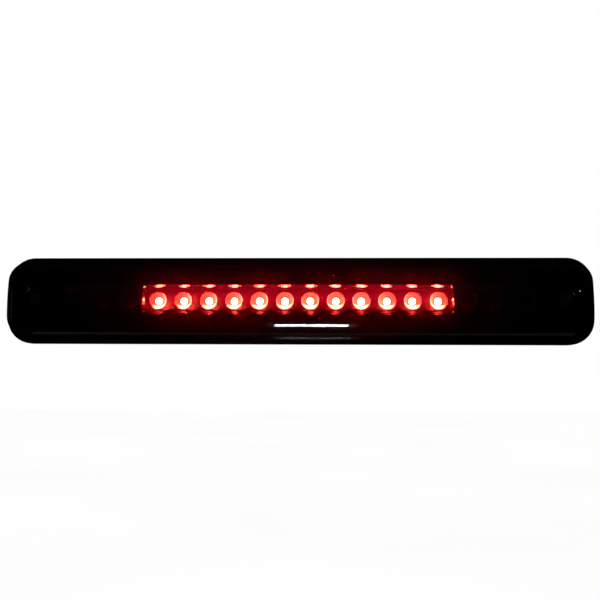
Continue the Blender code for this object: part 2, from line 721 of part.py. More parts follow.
def make_mounting_screw(side, x, parent):
    """A sleeve, a sealing washer and a pan-head tapping screw on one axis. The screw and its washer move."""
    axis = add_empty(side + "_screw_axis", (x, 0, 0), parent)
    sleeve_front = make_sleeve("screw_sleeve_" + side, axis)
    washer_back = sleeve_front - GAP
    washer_front = washer_back - WASHER_THICK
    bore = SCREW_RADIUS + GAP
    section = (
        (bore, washer_front),
        (WASHER_RADIUS, washer_front),
        (WASHER_RADIUS, washer_back),
        (bore, washer_back),
    )
    add_object("sealing_washer_" + side, turn_ring(bmesh.new(), section), "rubber", axis)
    seat = washer_front - GAP
    rim = seat - SCREW_HEAD_THICK * 0.55
    crown = seat - SCREW_HEAD_THICK
    profile = (
        (0, crown),
        (SCREW_HEAD_RADIUS * 0.62, crown),
        (SCREW_HEAD_RADIUS * 0.92, crown + SCREW_HEAD_THICK * 0.2),
        (SCREW_HEAD_RADIUS, rim),
        (SCREW_HEAD_RADIUS, seat),
        (SCREW_RADIUS, seat),
        (SCREW_RADIUS, SCREW_TIP - SCREW_POINT),
        (SCREW_RADIUS * 0.15, SCREW_TIP),
        (0, SCREW_TIP),
    )
    screw = add_object("mounting_screw_" + side, turn(bmesh.new(), profile), "zinc_steel", axis)
    boolean(screw, "cross_recess_" + side, "DIFFERENCE", cross_recess(crown))


def cross_recess(crown):
    """A cutter for the cross in the screw's head, tapered towards its floor."""
    cross = []
    for quarter in range(4):
        turned = math.pi / 2 * quarter
        for x, z in ((CROSS_ARM, -CROSS_HALF), (CROSS_ARM, CROSS_HALF), (CROSS_HALF, CROSS_HALF)):
            cross.append(
                (
                    x * math.cos(turned) - z * math.sin(turned),
                    x * math.sin(turned) + z * math.cos(turned),
                )
            )
    rings = []
    for scale, y in ((1.0, crown - OVERLAP), (1.0, crown), (CROSS_TAPER, crown + CROSS_DEPTH)):
        rings.append([(x * scale, y, z * scale) for x, z in cross])
    return loft(bmesh.new(), rings)


# ---- Inlet, vent and wiring --------------------------------------------------------------------------------
def blade_places():
    return [INLET_X + (i - 1) * BLADE_SPACING for i in range(3)]


def make_inlet(parent):
    """A three-blade header: a plug through the housing's window, a flange, and a shroud round the blades."""

    def at(half, corner, y):
        return ring(half, corner, y, (INLET_X, 0))

    rings = [
        at(INLET_PLUG_HALF, INLET_PLUG_CORNER, INLET_PLUG_FRONT),
        at(INLET_PLUG_HALF, INLET_PLUG_CORNER, INLET_FLANGE_FRONT),
        at(INLET_FLANGE_HALF, INLET_FLANGE_CORNER, INLET_FLANGE_FRONT),
        at(INLET_FLANGE_HALF, INLET_FLANGE_CORNER, INLET_FLANGE_BACK),
        at(INLET_SHROUD_HALF, INLET_SHROUD_CORNER, INLET_FLANGE_BACK),
        at(INLET_SHROUD_HALF, INLET_SHROUD_CORNER, INLET_MOUTH),
        at(INLET_CAVITY_HALF, INLET_CAVITY_CORNER, INLET_MOUTH),
        at(INLET_CAVITY_HALF, INLET_CAVITY_CORNER, INLET_CAVITY_FLOOR),
    ]
    inlet = add_object("inlet_shell", loft(bmesh.new(), rings), "black_abs", parent)
    slots = bmesh.new()
    slot = BLADE_HALF + Vector((GAP, GAP))
    for x in blade_places():
        low = (x - slot[0], INLET_PLUG_FRONT - OVERLAP, -slot[1])
        high = (x + slot[0], INLET_CAVITY_FLOOR + OVERLAP, slot[1])
        block(slots, low, high)
    boolean(inlet, "inlet_slots", "DIFFERENCE", slots)

    seal_front = TUB_BACK + GAP
    seal_back = seal_front + INLET_SEAL_THICK
    window = INLET_PLUG_HALF + Vector((GAP, GAP))
    edge = INLET_FLANGE_HALF - Vector((INLET_SEAL_INSET, INLET_SEAL_INSET))
    edge_corner = INLET_FLANGE_CORNER - INLET_SEAL_INSET
    rings = [
        at(edge, edge_corner, seal_front),
        at(edge, edge_corner, seal_back),
        at(window, INLET_PLUG_CORNER, seal_back),
        at(window, INLET_PLUG_CORNER, seal_front),
    ]
    add_object("inlet_seal", loft(bmesh.new(), rings, "joined"), "rubber", parent)

    for name, x in zip(("terminal_brake", "terminal_ground", "terminal_cargo"), blade_places()):
        low = (-BLADE_HALF[0], BLADE_FRONT, -BLADE_HALF[1])
        high = (BLADE_HALF[0], BLADE_BACK, BLADE_HALF[1])
        blade = add_object(name, block(bmesh.new(), low, high), "tinned_brass", parent, (x, 0, 0))
        chamfer = blade.modifiers.new("edge", "BEVEL")
        chamfer.width = BLADE_CHAMFER
        chamfer.segments = 1


def make_vent_cap(parent):
    """A rubber breather cap, its stem in the vent hole of the tub's back."""
    back = TUB_BACK + GAP
    profile = (
        (0, VENT_STEM_FRONT),
        (VENT_STEM_RADIUS, VENT_STEM_FRONT),
        (VENT_STEM_RADIUS, back),
        (VENT_CAP_RADIUS * 0.92, back),
        (VENT_CAP_RADIUS, back + VENT_CAP_THICK * 0.3),
        (VENT_CAP_RADIUS * 0.87, back + VENT_CAP_THICK * 0.9),
        (0, back + VENT_CAP_THICK),
    )
    add_object("vent_cap", turn(bmesh.new(), profile), "rubber", parent, (VENT_X, 0, 0))


def make_wiring(parent):
    """Leads from the inlet's blades to the brake board, and a link from it to each cargo board."""
    board = BOARD_BACK + GAP
    start = BLADE_FRONT - GAP
    brake_x, ground_x, cargo_x = blade_places()
    leads = (
        ("brake_feed_wire", "red_insulation", brake_x, 0.0380, 0.0045),
        ("ground_wire", "black_insulation", ground_x, 0.0480, -0.0045),
        ("cargo_feed_wire", "white_insulation", cargo_x, 0.0860, -0.0045),
    )
    for name, finish_name, from_x, to_x, to_z in leads:
        toward = 0.002 if to_x > from_x else -0.002
        route = (
            (from_x, start, 0),
            (from_x, start - 0.0016, 0),
            (from_x + toward, board + 0.0034, to_z * 0.25),
            ((from_x + to_x) / 2, board + 0.0026, to_z * 0.7),
            (to_x - toward, board + 0.0022, to_z),
            (to_x, board + 0.0014, to_z),
            (to_x, board, to_z),
        )
        wire(name, route, finish_name, parent)
    near, far = 0.1050, 0.1190
    for side, sign in (("left", -1), ("right", 1)):
        route = (
            (sign * near, board, 0),
            (sign * near, board + 0.0020, 0),
            (sign * (near + far) / 2, board + 0.0045, 0),
            (sign * far, board + 0.0020, 0),
            (sign * far, board, 0),
        )
        wire("cargo_link_" + side, route, "white_insulation", parent)


# ---- The whole lamp ----------------------------------------------------------------------------------------
def brake_led_places():
    first = -LED_PITCH * (BRAKE_LED_COUNT - 1) / 2
    return [first + i * LED_PITCH for i in range(BRAKE_LED_COUNT)]


def cargo_led_places(sign):
    """From the middle of the lamp outwards."""
    return [sign * (FIRST_CARGO_LED_X + i * LED_PITCH) for i in range(CARGO_LED_COUNT)]


def make_light_units(parent):
    brake_posts = (-BRAKE_POST_X, BRAKE_POST_X)
    make_reflector("brake_reflector", BRAKE_OPENING, 0, brake_led_places(), brake_posts, parent)
    make_board("brake_board", BRAKE_BOARD_HALF, 0, brake_posts, parent)
    for number, x in enumerate(brake_led_places(), 1):
        make_led(f"brake_led_{number:02d}", x, "red_led", parent)
    for number, x in enumerate(brake_posts, 1):
        make_small_screw(f"brake_board_screw_{number}", (x, 0), BOARD_BACK, BOARD_SCREW_LENGTH, parent)
    for number, x in enumerate(BRAKE_RESISTOR_PLACES, 1):
        make_resistor(f"brake_resistor_{number}", x, parent)
    for side, sign in (("left", -1), ("right", 1)):
        middle = sign * CARGO_MIDDLE_X
        post = sign * CARGO_POST_X
        leds = cargo_led_places(sign)
        make_reflector(f"cargo_reflector_{side}", CARGO_OPENING, middle, leds, (post,), parent)
        make_board(f"cargo_board_{side}", CARGO_BOARD_HALF, middle, (post,), parent)
        for number, x in enumerate(leds, 1):
            make_led(f"cargo_led_{side}_{number}", x, "clear_led", parent)
        make_small_screw(f"cargo_board_screw_{side}", (post, 0), BOARD_BACK, BOARD_SCREW_LENGTH, parent)
        make_resistor(f"cargo_resistor_{side}", sign * CARGO_RESISTOR_X, parent)


def make_lamp():
    lamp = add_empty("lamp")
    make_lens(lamp)
    make_lens_seal(lamp)
    make_housing(lamp)
    make_gasket(lamp)
    make_bezel(lamp)
    make_light_units(lamp)
    for number, place in enumerate(pillar_places(), 1):
        make_small_screw(f"bezel_screw_{number}", place, BEZEL_SCREW_SEAT, BEZEL_SCREW_LENGTH, lamp)
    for side, x in zip(("left", "right"), screw_seats()):
        make_mounting_screw(side, x, lamp)
    make_inlet(lamp)
    make_vent_cap(lamp)
    make_wiring(lamp)


clear_scene()
make_lamp()
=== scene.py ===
# The looks of a pickup cab's third brake light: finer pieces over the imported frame, their materials, a pale
# studio and a camera in front of the lamp and a little below it. Metres, in the frame's own axes: +X right,
# +Y into the cab, +Z up. Places and sizes come from the boxes of the CAD nodes; what is named below is shape.
import json
import math

import bmesh
import bpy
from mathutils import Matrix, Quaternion, Vector


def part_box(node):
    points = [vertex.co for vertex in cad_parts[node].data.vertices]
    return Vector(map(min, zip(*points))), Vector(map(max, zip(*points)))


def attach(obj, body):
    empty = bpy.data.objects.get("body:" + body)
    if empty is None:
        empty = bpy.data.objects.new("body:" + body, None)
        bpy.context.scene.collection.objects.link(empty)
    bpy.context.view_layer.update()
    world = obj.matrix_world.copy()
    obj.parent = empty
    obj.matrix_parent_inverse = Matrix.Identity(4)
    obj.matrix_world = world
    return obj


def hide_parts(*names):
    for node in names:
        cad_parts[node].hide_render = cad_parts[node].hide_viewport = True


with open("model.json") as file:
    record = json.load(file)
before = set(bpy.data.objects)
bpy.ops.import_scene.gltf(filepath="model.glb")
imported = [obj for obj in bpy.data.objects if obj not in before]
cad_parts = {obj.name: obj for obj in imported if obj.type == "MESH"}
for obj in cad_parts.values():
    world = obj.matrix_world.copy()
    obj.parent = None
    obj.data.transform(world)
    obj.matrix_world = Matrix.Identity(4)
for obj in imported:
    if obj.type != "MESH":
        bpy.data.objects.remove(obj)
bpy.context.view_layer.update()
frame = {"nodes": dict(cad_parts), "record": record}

# ---- Shape constants ---------------------------------------------------------------------------------------
GAP = 0.0003  # between pieces that touch
MARGIN = 0.001  # how far a cutter or an added shape reaches past the face it starts from
LAMP_CORNER = 0.0185
LENS_THICK = 0.0024
LENS_DRAFT = 0.0019
LENS_FILLET = 0.0045
LENS_CROWN_RADIUS = 0.120
LENS_BOW_RADIUS = 8.0
LIP_WALL = 0.0015
TUB_HALF = Vector((0.172, 0.0222))
TUB_CORNER = 0.012
TUB_DRAFT = 0.0008
TUB_WALL = 0.0022
WELL_MOUTH, WELL_SEAT_RADIUS, WELL_WALL = 0.0084, 0.0076, 0.0020
THREAD_PITCH = 0.0016
SLEEVE_BORE, SLEEVE_RADIUS, SLEEVE_FLANGE, SLEEVE_HOLE = 0.0028, 0.0040, 0.0010, 0.0043
SCREW_RADIUS, SCREW_ROOT, SCREW_POINT = 0.0024, 0.0017, 0.0050
SMALL_SCREW_RADIUS, SMALL_HEAD_THICK = 0.0014, 0.0020
BOSS_RADIUS, COUNTERBORE_RADIUS, PILLAR_RADIUS, POST_RADIUS = 0.0052, 0.0037, 0.0032, 0.00275
RIB_PLACES = (0.015, 0.105, 0.150)
RIB_THICK, RIB_HALF_LENGTH = 0.0012, 0.0175
PIT_PLACES = (-0.118, -0.090, -0.030, 0.030, 0.090, 0.118)  # of the mould's ejector pins
PIT_RADIUS, PIT_DEPTH, PIT_DROP = 0.0024, 0.00025, 0.0115
VENT_HOLE_RADIUS = 0.0025
GASKET_CLEARANCE, GASKET_HOLE_RADIUS = 0.0006, 0.0055
BEZEL_PLATEAU = 0.0020
TROUGH_CORNER, TROUGH_RIM = 0.0034, 0.0010
END_DRAFT, TOP_DRAFT, UNDER_DRAFT = 0.0016, 0.00245, 0.0036  # how far the trough's walls lean in
TROUGH_DEPTH, CUP_DEPTH = 0.0055, 0.0050
CUP_RIM, CUP_FOOT, CUP_WALL, CUP_BEAD = 0.0061, 0.0030, 0.0012, 0.0003
CUP_FLARE = 0.0022  # how far the cups' cutter runs on in front of the trough's floor
LED_RADIUS, LED_FLANGE, LED_HOLE = 0.0025, 0.0010, 0.00265
INLET_PLUG_HALF = Vector((0.0105, 0.0055))
INLET_SHROUD_HALF = Vector((0.0125, 0.0068))
INLET_CAVITY_HALF = Vector((0.0109, 0.0052))
# (place, half width, rise) of each rib on the inlet's shroud
INLET_KEYS = ((0, 0.0032, 0.0016), (-0.0075, 0.0007, 0.0010), (0.0075, 0.0007, 0.0010))
BLADE_SLOT_HALF = Vector((0.0017, 0.0007))
TURN_STEPS = 64
CORNER_STEPS = 14
SHARP_ANGLE = 35
WELD = 1e-6  # points nearer than this are one point


# ---- Places, from the boxes of the CAD nodes ---------------------------------------------------------------
BOXES = {name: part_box(name) for name in frame["nodes"]}


def middle_of(node):
    low, high = BOXES[node]
    return (low + high) / 2


def half_of(node):
    """Half the node's size along X and Z."""
    low, high = BOXES[node]
    return Vector(((high.x - low.x) / 2, (high.z - low.z) / 2))


def front_of(node):
    return BOXES[node][0].y


def back_of(node):
    return BOXES[node][1].y


SIDES = ("left", "right")
BRAKE_LEDS = [f"brake_led_{number:02d}" for number in range(1, 13)]
CARGO_LEDS = {side: [f"cargo_led_{side}_{number}" for number in range(1, 4)] for side in SIDES}
REFLECTORS = ("brake_reflector", "cargo_reflector_left", "cargo_reflector_right")
BOARDS = dict(zip(REFLECTORS, ("brake_board", "cargo_board_left", "cargo_board_right")))
BOARD_SCREWS = {
    "brake_reflector": ("brake_board_screw_1", "brake_board_screw_2"),
    "cargo_reflector_left": ("cargo_board_screw_left",),
    "cargo_reflector_right": ("cargo_board_screw_right",),
}
BEZEL_SCREWS = [f"bezel_screw_{number}" for number in range(1, 5)]
TERMINALS = ("terminal_brake", "terminal_ground", "terminal_cargo")
LAMP_HALF = half_of("housing")
LENS_INSET = LAMP_HALF.y - half_of("lens_seal").y
LENS_APEX = front_of("lens")
LENS_BASE = front_of("lens_seal") - GAP
FLANGE_BACK = front_of("mounting_gasket") - GAP
FLANGE_FRONT = back_of("lens_seal") + GAP
LIP_FRONT = front_of("housing")
BEZEL_FRONT = front_of("inner_bezel")
TROUGH_FRONT = front_of("brake_reflector")
TROUGH_FLOOR = TROUGH_FRONT + TROUGH_DEPTH
CUP_BASE = TROUGH_FLOOR + CUP_DEPTH
LED_TIP = front_of("brake_led_01")
LED_BASE = back_of("brake_led_01")
LED_SPACING = middle_of("brake_led_02").x - middle_of("brake_led_01").x
SCREW_X = middle_of("mounting_screw_right").x
TUB_BACK = front_of("inlet_seal") - GAP


# ---- Shapes ------------------------------------------------------------------------------------------------
def outline(half, corner, long_steps=1, short_steps=1):
    """(x, z) points of a rounded rectangle, anticlockwise from the right end of its upper right corner."""
    points = []
    for quarter, (sx, sz) in enumerate(((1, 1), (-1, 1), (-1, -1), (1, -1))):
        for step in range(CORNER_STEPS + 1):
            angle = math.pi / 2 * (quarter + step / CORNER_STEPS)
            x = sx * (half[0] - corner) + corner * math.cos(angle)
            z = sz * (half[1] - corner) + corner * math.sin(angle)
            points.append((x, z))
        steps = short_steps if quarter in (1, 3) else long_steps
        x, z = points[-1]
        for step in range(1, steps):
            share = 1 - 2 * step / steps
            points.append((x, z * share) if quarter in (1, 3) else (x * share, z))
    return points


def place_ring(spec, centre=(0.0, 0.0)):
    """A flat ring of 3-D points from (half width, half height, corner radius, depth)."""
    half_x, half_z, corner, y = spec
    return [(centre[0] + x, y, centre[1] + z) for x, z in outline((half_x, half_z), corner)]


def inset_spec(half, corner, inset, y):
    """The ring of a rounded rectangle, drawn in by inset, at depth y."""
    return Vector((half[0] - inset, half[1] - inset, max(corner - inset, 0.0002), y))


def soften(specs, setbacks, steps=4, closed=False):
    """The profile with its corners rounded: each corner's curve starts its setback away along both sides."""
    found = []
    last = len(specs) - 1
    for i, (here, setback) in enumerate(zip(specs, setbacks)):
        if setback == 0 or (not closed and i in (0, last)):
            found.append(here)
            continue
        arms, holders = [], []
        for other in (specs[i - 1], specs[(i + 1) % len(specs)]):
            arm = other - here
            length = max(abs(c) for c in arm)
            arms.append(here + arm * min(setback / length, 0.42))
            holders.append(here + arm * min(setback * 1.3 / length, 0.49))
        found.append(holders[0])
        for step in range(steps + 1):
            t = step / steps
            found.append(arms[0] * (1 - t) ** 2 + here * 2 * t * (1 - t) + arms[1] * t**2)
        found.append(holders[1])
    return found


def loft(bm, rings, ends="flat"):
    """A closed body through the rings. ends is "flat", "crossed" (strips across a domed end) or "joined"."""
    loops = [[bm.verts.new(point) for point in points] for points in rings]
    count = len(loops[0])
    followers = loops[1:] + (loops[:1] if ends == "joined" else [])
    for near, far in zip(loops, followers):
        for i in range(count):
            j = (i + 1) % count
            bm.faces.new((near[i], near[j], far[j], far[i]))
    for loop in (loops[0], loops[-1]):
        if ends == "flat":
            bm.faces.new(loop)
        elif ends == "crossed":
            for i in range(count // 2 - 1):
                bm.faces.new((loop[i], loop[i + 1], loop[-2 - i], loop[-1 - i]))
    return bm


def turned(bm, profile, setbacks=None, centre=(0.0, 0.0), ring_shaped=False, steps=TURN_STEPS):
    """A body turned round Y through centre (x, z) from a (radius, y) profile, with its corners rounded."""
    profile = [Vector(point) for point in profile]
    if setbacks:
        profile = soften(profile, setbacks, closed=ring_shaped)
    rings = []
    for radius, y in profile:
        points = []
        for step in range(steps):
            angle = math.tau * step / steps
            points.append((centre[0] + radius * math.cos(angle), y, centre[1] + radius * math.sin(angle)))
        rings.append(points)
    return loft(bm, rings, "joined" if ring_shaped else "flat")


def rod(bm, radius, front, back, centre=(0.0, 0.0), steps=TURN_STEPS):
    return turned(bm, ((radius, front), (radius, back)), centre=centre, steps=steps)


def block(bm, low, high, rounding=0.0, segments=3):
    """A box between two corners, with its edges rounded."""
    made = bmesh.ops.create_cube(bm, size=1.0)["verts"]
    low, high = Vector(low), Vector(high)
    for vert in made:
        vert.co = (low + high) / 2 + vert.co * (high - low)
    if rounding:
        edges = list({edge for vert in made for edge in vert.link_edges})
        bmesh.ops.bevel(bm, geom=edges, offset=rounding, segments=segments, profile=0.5, affect="EDGES")
    return bm


# ---- Making pieces -----------------------------------------------------------------------------------------
def shade(mesh):
    mesh.shade_smooth()
    mesh.set_sharp_from_angle(angle=math.radians(SHARP_ANGLE))


def mesh_object(name, bm):
    bmesh.ops.recalc_face_normals(bm, faces=bm.faces)
    mesh = bpy.data.meshes.new(name)
    bm.to_mesh(mesh)
    bm.free()
    shade(mesh)
    obj = bpy.data.objects.new(name, mesh)
    bpy.context.scene.collection.objects.link(obj)
    return obj


def show(piece, slot, node, body, centre):
    """Gives a piece its finish, its place and the body it rides on, and hides the CAD node it stands for."""
    piece.data.materials.clear()
    piece.data.materials.append(FINISHES[slot])
    piece.location = centre
    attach(piece, body)
    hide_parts(node)
    return piece


def add_piece(name, bm, slot, node, body="lamp", tools=(), centre=(0, 0, 0)):
    """A shown piece that stands for a CAD node. tools are (operation, bmesh), worked into its mesh."""
    piece = mesh_object(name, bm)
    helpers = []
    for operation, tool in tools:
        helper = mesh_object(name + "_tool", tool)
        helpers.append(helper)
        modifier = piece.modifiers.new(operation, "BOOLEAN")
        modifier.operation = operation
        modifier.solver = "EXACT"
        modifier.object = helper
    if helpers:
        bpy.context.view_layer.update()
        evaluated = piece.evaluated_get(bpy.context.evaluated_depsgraph_get())
        worked = bpy.data.meshes.new_from_object(evaluated)
        piece.modifiers.clear()
        piece.data = worked
        for helper in helpers:
            bpy.data.objects.remove(helper)
        joined = bmesh.new()
        joined.from_mesh(worked)
        bmesh.ops.remove_doubles(joined, verts=joined.verts, dist=WELD)
        bmesh.ops.dissolve_degenerate(joined, edges=joined.edges, dist=WELD)
        joined.to_mesh(worked)
        joined.free()
        shade(worked)
    return show(piece, slot, node, body, centre)


# ---- Materials ---------------------------------------------------------------------------------------------
class Finish:
    """A node material in the making."""

    def __init__(self, name):
        self.material = bpy.data.materials.new(name)
        self.material.use_nodes = True
        self.tree = self.material.node_tree
        self.tree.nodes.clear()
        self.place = self.add("TexCoord").outputs["Object"]

    def add(self, kind, inputs=(), **settings):
        """A node whose inputs are constants or other nodes' sockets."""
        node = self.tree.nodes.new("ShaderNode" + kind)
        for key, value in settings.items():
            setattr(node, key, value)
        for key, value in dict(inputs).items():
            if isinstance(value, bpy.types.NodeSocket):
                self.tree.links.new(value, node.inputs[key])
            else:
                node.inputs[key].default_value = value
        return node

    def along(self, axis):
        """The place along "X", "Y" or "Z"."""
        return self.add("SeparateXYZ", {0: self.place}).outputs[axis]

    def noise(self, scale, detail=3.0, distortion=0.0, stretch=None):
        place = self.place
        if stretch:
            place = self.add("Mapping", {"Vector": place, "Scale": stretch}).outputs[0]
        inputs = {"Vector": place, "Scale": scale, "Detail": detail, "Distortion": distortion}
        return self.add("TexNoise", inputs).outputs["Fac"]

    def spread(self, value, low, high, start=0.3, end=0.7):
        """The value's range from start to end, spread over low to high. The default suits a noise."""
        inputs = {"Value": value, "From Min": start, "From Max": end, "To Min": low, "To Max": high}
        return self.add("MapRange", inputs).outputs["Result"]

    def mix(self, share, first, second):
        """A colour between two colours."""
        inputs = {0: share, 6: first, 7: second}
        return self.add("Mix", inputs, data_type="RGBA").outputs[2]

    def math(self, operation, first, second=0.0):
        return self.add("Math", {0: first, 1: second}, operation=operation).outputs[0]

    def bump(self, height, depth, normal=None):
        inputs = {"Height": height, "Distance": depth, "Strength": 1.0}
        if normal is not None:
            inputs["Normal"] = normal
        return self.add("Bump", inputs).outputs["Normal"]

    def hairlines(self, scale):
        """Thin wandering lines, as light scuffs leave: 1 on a line, 0 elsewhere."""
        away = self.math("ABSOLUTE", self.math("SUBTRACT", self.noise(scale, 2.0, 1.5), 0.5))
        return self.spread(away, 1.0, 0.0, 0.0, 0.006)

    def out(self, shader):
        self.add("OutputMaterial", {"Surface": shader.outputs[0]})
        return self.material


def rgb(red, green, blue):
    return (red, green, blue, 1.0)


def grey(value):
    return rgb(value, value, value)


LED_RED = rgb(1.0, 0.050, 0.026)
LED_STRENGTH = 1000.0
LED_BEAM = 2.5  # the power of the cosine by which a lamp's light falls off towards its sides
LENS_HAZE = 0.0033  # the share of the smoked plastic that scatters the light behind it
HAZE, WALL_HAZE = 0.25, 0.06  # the share of the metal that scatters, and the same on the trough's upper wall
CUP_FROST, CUP_PAINTED_SHADE = 0.25, 0.82  # the roughness of the cups above their lowest part, and how much painted shade darkens them there
PAINTED_SHADE_LOWEST = 0.02  # of the metal's colour is left where the painted shade is darkest, at the lower edge of the trough
PAINTED_SHADE_FROM, PAINTED_SHADE_TO = -0.0041, -0.0074  # heights between which painted shade darkens the metal, midway between two lamps
PAINTED_SHADE_DIP = 0.38  # how much lower the painted shade starts at the lamps, over half their spacing
LOWER_WALL_PAINTED_SHADE = 0.97  # how much painted shade darkens the trough's lower wall
FLUTE_DEPTH = 0.00016  # of the fine lines along the trough's walls, which draw reflections out sideways


def plain_finish(name, dark, light, rough, grain, grain_depth, metallic=0.0, mottle=60.0, scuff=0.12):
    """An opaque surface whose colour and gloss wander, with a fine grain and light scuffs."""
    made = Finish(name)
    broad = made.noise(mottle, 4.0)
    fine = made.noise(grain, 3.0)
    lines = made.hairlines(mottle * 2)
    colour = made.mix(made.spread(broad, 0.0, 1.0), rgb(*dark), rgb(*light))
    gloss = made.spread(made.noise(mottle * 3, 5.0), rough[0], rough[1])
    gloss = made.math("ADD", gloss, made.math("MULTIPLY", lines, scuff))
    normal = made.bump(fine, grain_depth)
    inputs = {"Base Color": colour, "Roughness": gloss, "Normal": normal, "Metallic": metallic}
    return made.out(made.add("BsdfPrincipled", inputs))


def smoked_lens():
    """Grey clear plastic that mirrors more at a glancing angle, with a faint ripple and a little dust."""
    made = Finish("smoked_polycarbonate")
    ripple = made.bump(made.noise(22.0, 1.0), 0.00006)
    shade = made.mix(made.spread(made.noise(30.0), 0.0, 1.0), grey(0.57), grey(0.61))
    dust = made.spread(made.noise(900.0, 6.0), 0.0, 0.06, 0.6, 0.8)
    gloss = made.math("ADD", made.spread(made.noise(160.0, 4.0), 0.015, 0.04), dust)
    gloss = made.math("ADD", gloss, made.math("MULTIPLY", made.hairlines(70.0), 0.05))
    clear = made.add("BsdfTransparent", {"Color": shade})
    mirror = made.add("BsdfGlossy", {"Color": grey(1.0), "Roughness": gloss, "Normal": ripple})
    share = made.add("Fresnel", {"IOR": 1.58, "Normal": ripple}).outputs[0]
    haze = made.add("BsdfTranslucent", {"Color": rgb(0.85, 0.08, 0.50)})
    hazy = made.math("MULTIPLY", made.spread(made.noise(60.0, 4.0), 0.8, 1.2), LENS_HAZE)
    body = made.add("MixShader", {0: hazy, 1: clear.outputs[0], 2: haze.outputs[0]})
    return made.out(made.add("MixShader", {0: share, 1: body.outputs[0], 2: mirror.outputs[0]}))


def lit_lamp():
    """Red epoxy over a lit chip: it throws most of its light forwards, and is white hot seen head-on."""
    made = Finish("red_led_lit")
    axis = made.add("CombineXYZ", {"Y": -1.0}).outputs[0]
    turned_away = made.add("LayerWeight", {"Blend": 0.5, "Normal": axis}).outputs["Facing"]
    forward = made.math("POWER", made.math("SUBTRACT", 1.0, turned_away), LED_BEAM)
    uneven = made.spread(made.noise(500.0), 0.94, 1.06)
    above_base = made.spread(made.along("Y"), 1.0, 0.02, CUP_BASE - 0.0005, CUP_BASE + 0.0005)
    strength = made.math("MULTIPLY", made.math("MULTIPLY", forward, LED_STRENGTH), uneven)
    strength = made.math("MULTIPLY", strength, above_base)
    glow = made.add("Emission", {"Color": LED_RED, "Strength": strength})
    gloss = made.spread(made.noise(500.0), 0.05, 0.12)
    skin = made.add("BsdfGlossy", {"Color": rgb(1, 0.9, 0.9), "Roughness": gloss})
    edge = made.add("Fresnel", {"IOR": 1.5}).outputs[0]
    return made.out(made.add("MixShader", {0: edge, 1: glow.outputs[0], 2: skin.outputs[0]}))


def clear_lamp():
    """Water-clear epoxy, see-through in part, with faint flow marks."""
    made = Finish("clear_led_epoxy")
    shade = made.mix(made.spread(made.noise(600.0), 0, 1), grey(0.86), grey(0.92))
    gloss = made.spread(made.noise(800.0, 4.0), 0.03, 0.10)
    ripple = made.bump(made.noise(350.0), 0.00003)
    clear = made.add("BsdfTransparent", {"Color": shade})
    mirror = made.add("BsdfGlossy", {"Color": grey(1.0), "Roughness": gloss, "Normal": ripple})
    share = made.add("Fresnel", {"IOR": 1.54, "Normal": ripple}).outputs[0]
    share = made.math("ADD", share, 0.06)
    return made.out(made.add("MixShader", {0: share, 1: clear.outputs[0], 2: mirror.outputs[0]}))


def metallised():
    """Vapour-deposited metal: a mirror with a haze over it, rougher in the cups. Painted shade darkens it in
    the cups above their lowest part, on the trough's lower wall and low down between the lamps.
    """
    made = Finish("metallised_plastic")
    across, depth, height = (made.along(axis) for axis in "XYZ")
    metal = made.spread(made.noise(90.0, 4.0), 0, 1)
    metal = made.mix(metal, rgb(0.80, 0.80, 0.82), rgb(0.88, 0.88, 0.90))
    # Painted shade: the metal darkens towards the trough's lower edge, and starts lower at the lamps than
    # midway between them.
    at_lamps = made.math("PINGPONG", across, LED_SPACING / 2)
    raised = made.math("ADD", height, made.math("MULTIPLY", at_lamps, PAINTED_SHADE_DIP))
    skin = made.mix(made.spread(raised, PAINTED_SHADE_LOWEST, 1.0, PAINTED_SHADE_TO, PAINTED_SHADE_FROM), grey(0.0), metal)

    upper = made.spread(height, 0.0, 1.0, -0.001, 0.001)
    on_walls = made.spread(depth, 1.0, 0.0, TROUGH_FLOOR - 0.0007, TROUGH_FLOOR - 0.0004)
    in_cups = made.spread(depth, 0.0, 1.0, TROUGH_FLOOR + 0.0001, TROUGH_FLOOR + 0.0004)
    # Painted shade darkens the cups above their lowest part, which stays bright. The same mask also makes them
    # rougher.
    frosted_and_shaded = made.math("MULTIPLY", in_cups, made.spread(height, 0.0, 1.0, -0.0036, -0.0024))
    skin = made.mix(made.math("MULTIPLY", frosted_and_shaded, CUP_PAINTED_SHADE), skin, grey(0.0))
    # Painted shade on the trough's lower wall.
    lower_wall = made.math("MULTIPLY", on_walls, made.math("SUBTRACT", 1.0, upper))
    shine = made.mix(made.math("MULTIPLY", lower_wall, LOWER_WALL_PAINTED_SHADE), skin, grey(0.0))

    flutes = made.noise(2000.0, 1.0, stretch=(1, 0, 0))
    normal = made.bump(made.noise(500.0), 0.00001)
    normal = made.bump(made.math("MULTIPLY", flutes, on_walls), FLUTE_DEPTH, normal)
    gloss = made.spread(made.noise(260.0, 4.0), 0.07, 0.13)
    gloss = made.math("ADD", gloss, made.math("MULTIPLY", frosted_and_shaded, CUP_FROST))
    haze = made.spread(made.math("MULTIPLY", on_walls, upper), HAZE, WALL_HAZE)
    inputs = {"Base Color": shine, "Metallic": 1.0, "Roughness": gloss, "Normal": normal}
    mirror = made.add("BsdfPrincipled", inputs)
    soft = made.add("BsdfDiffuse", {"Color": skin, "Roughness": 0.4, "Normal": normal})
    return made.out(made.add("MixShader", {0: haze, 1: mirror.outputs[0], 2: soft.outputs[0]}))


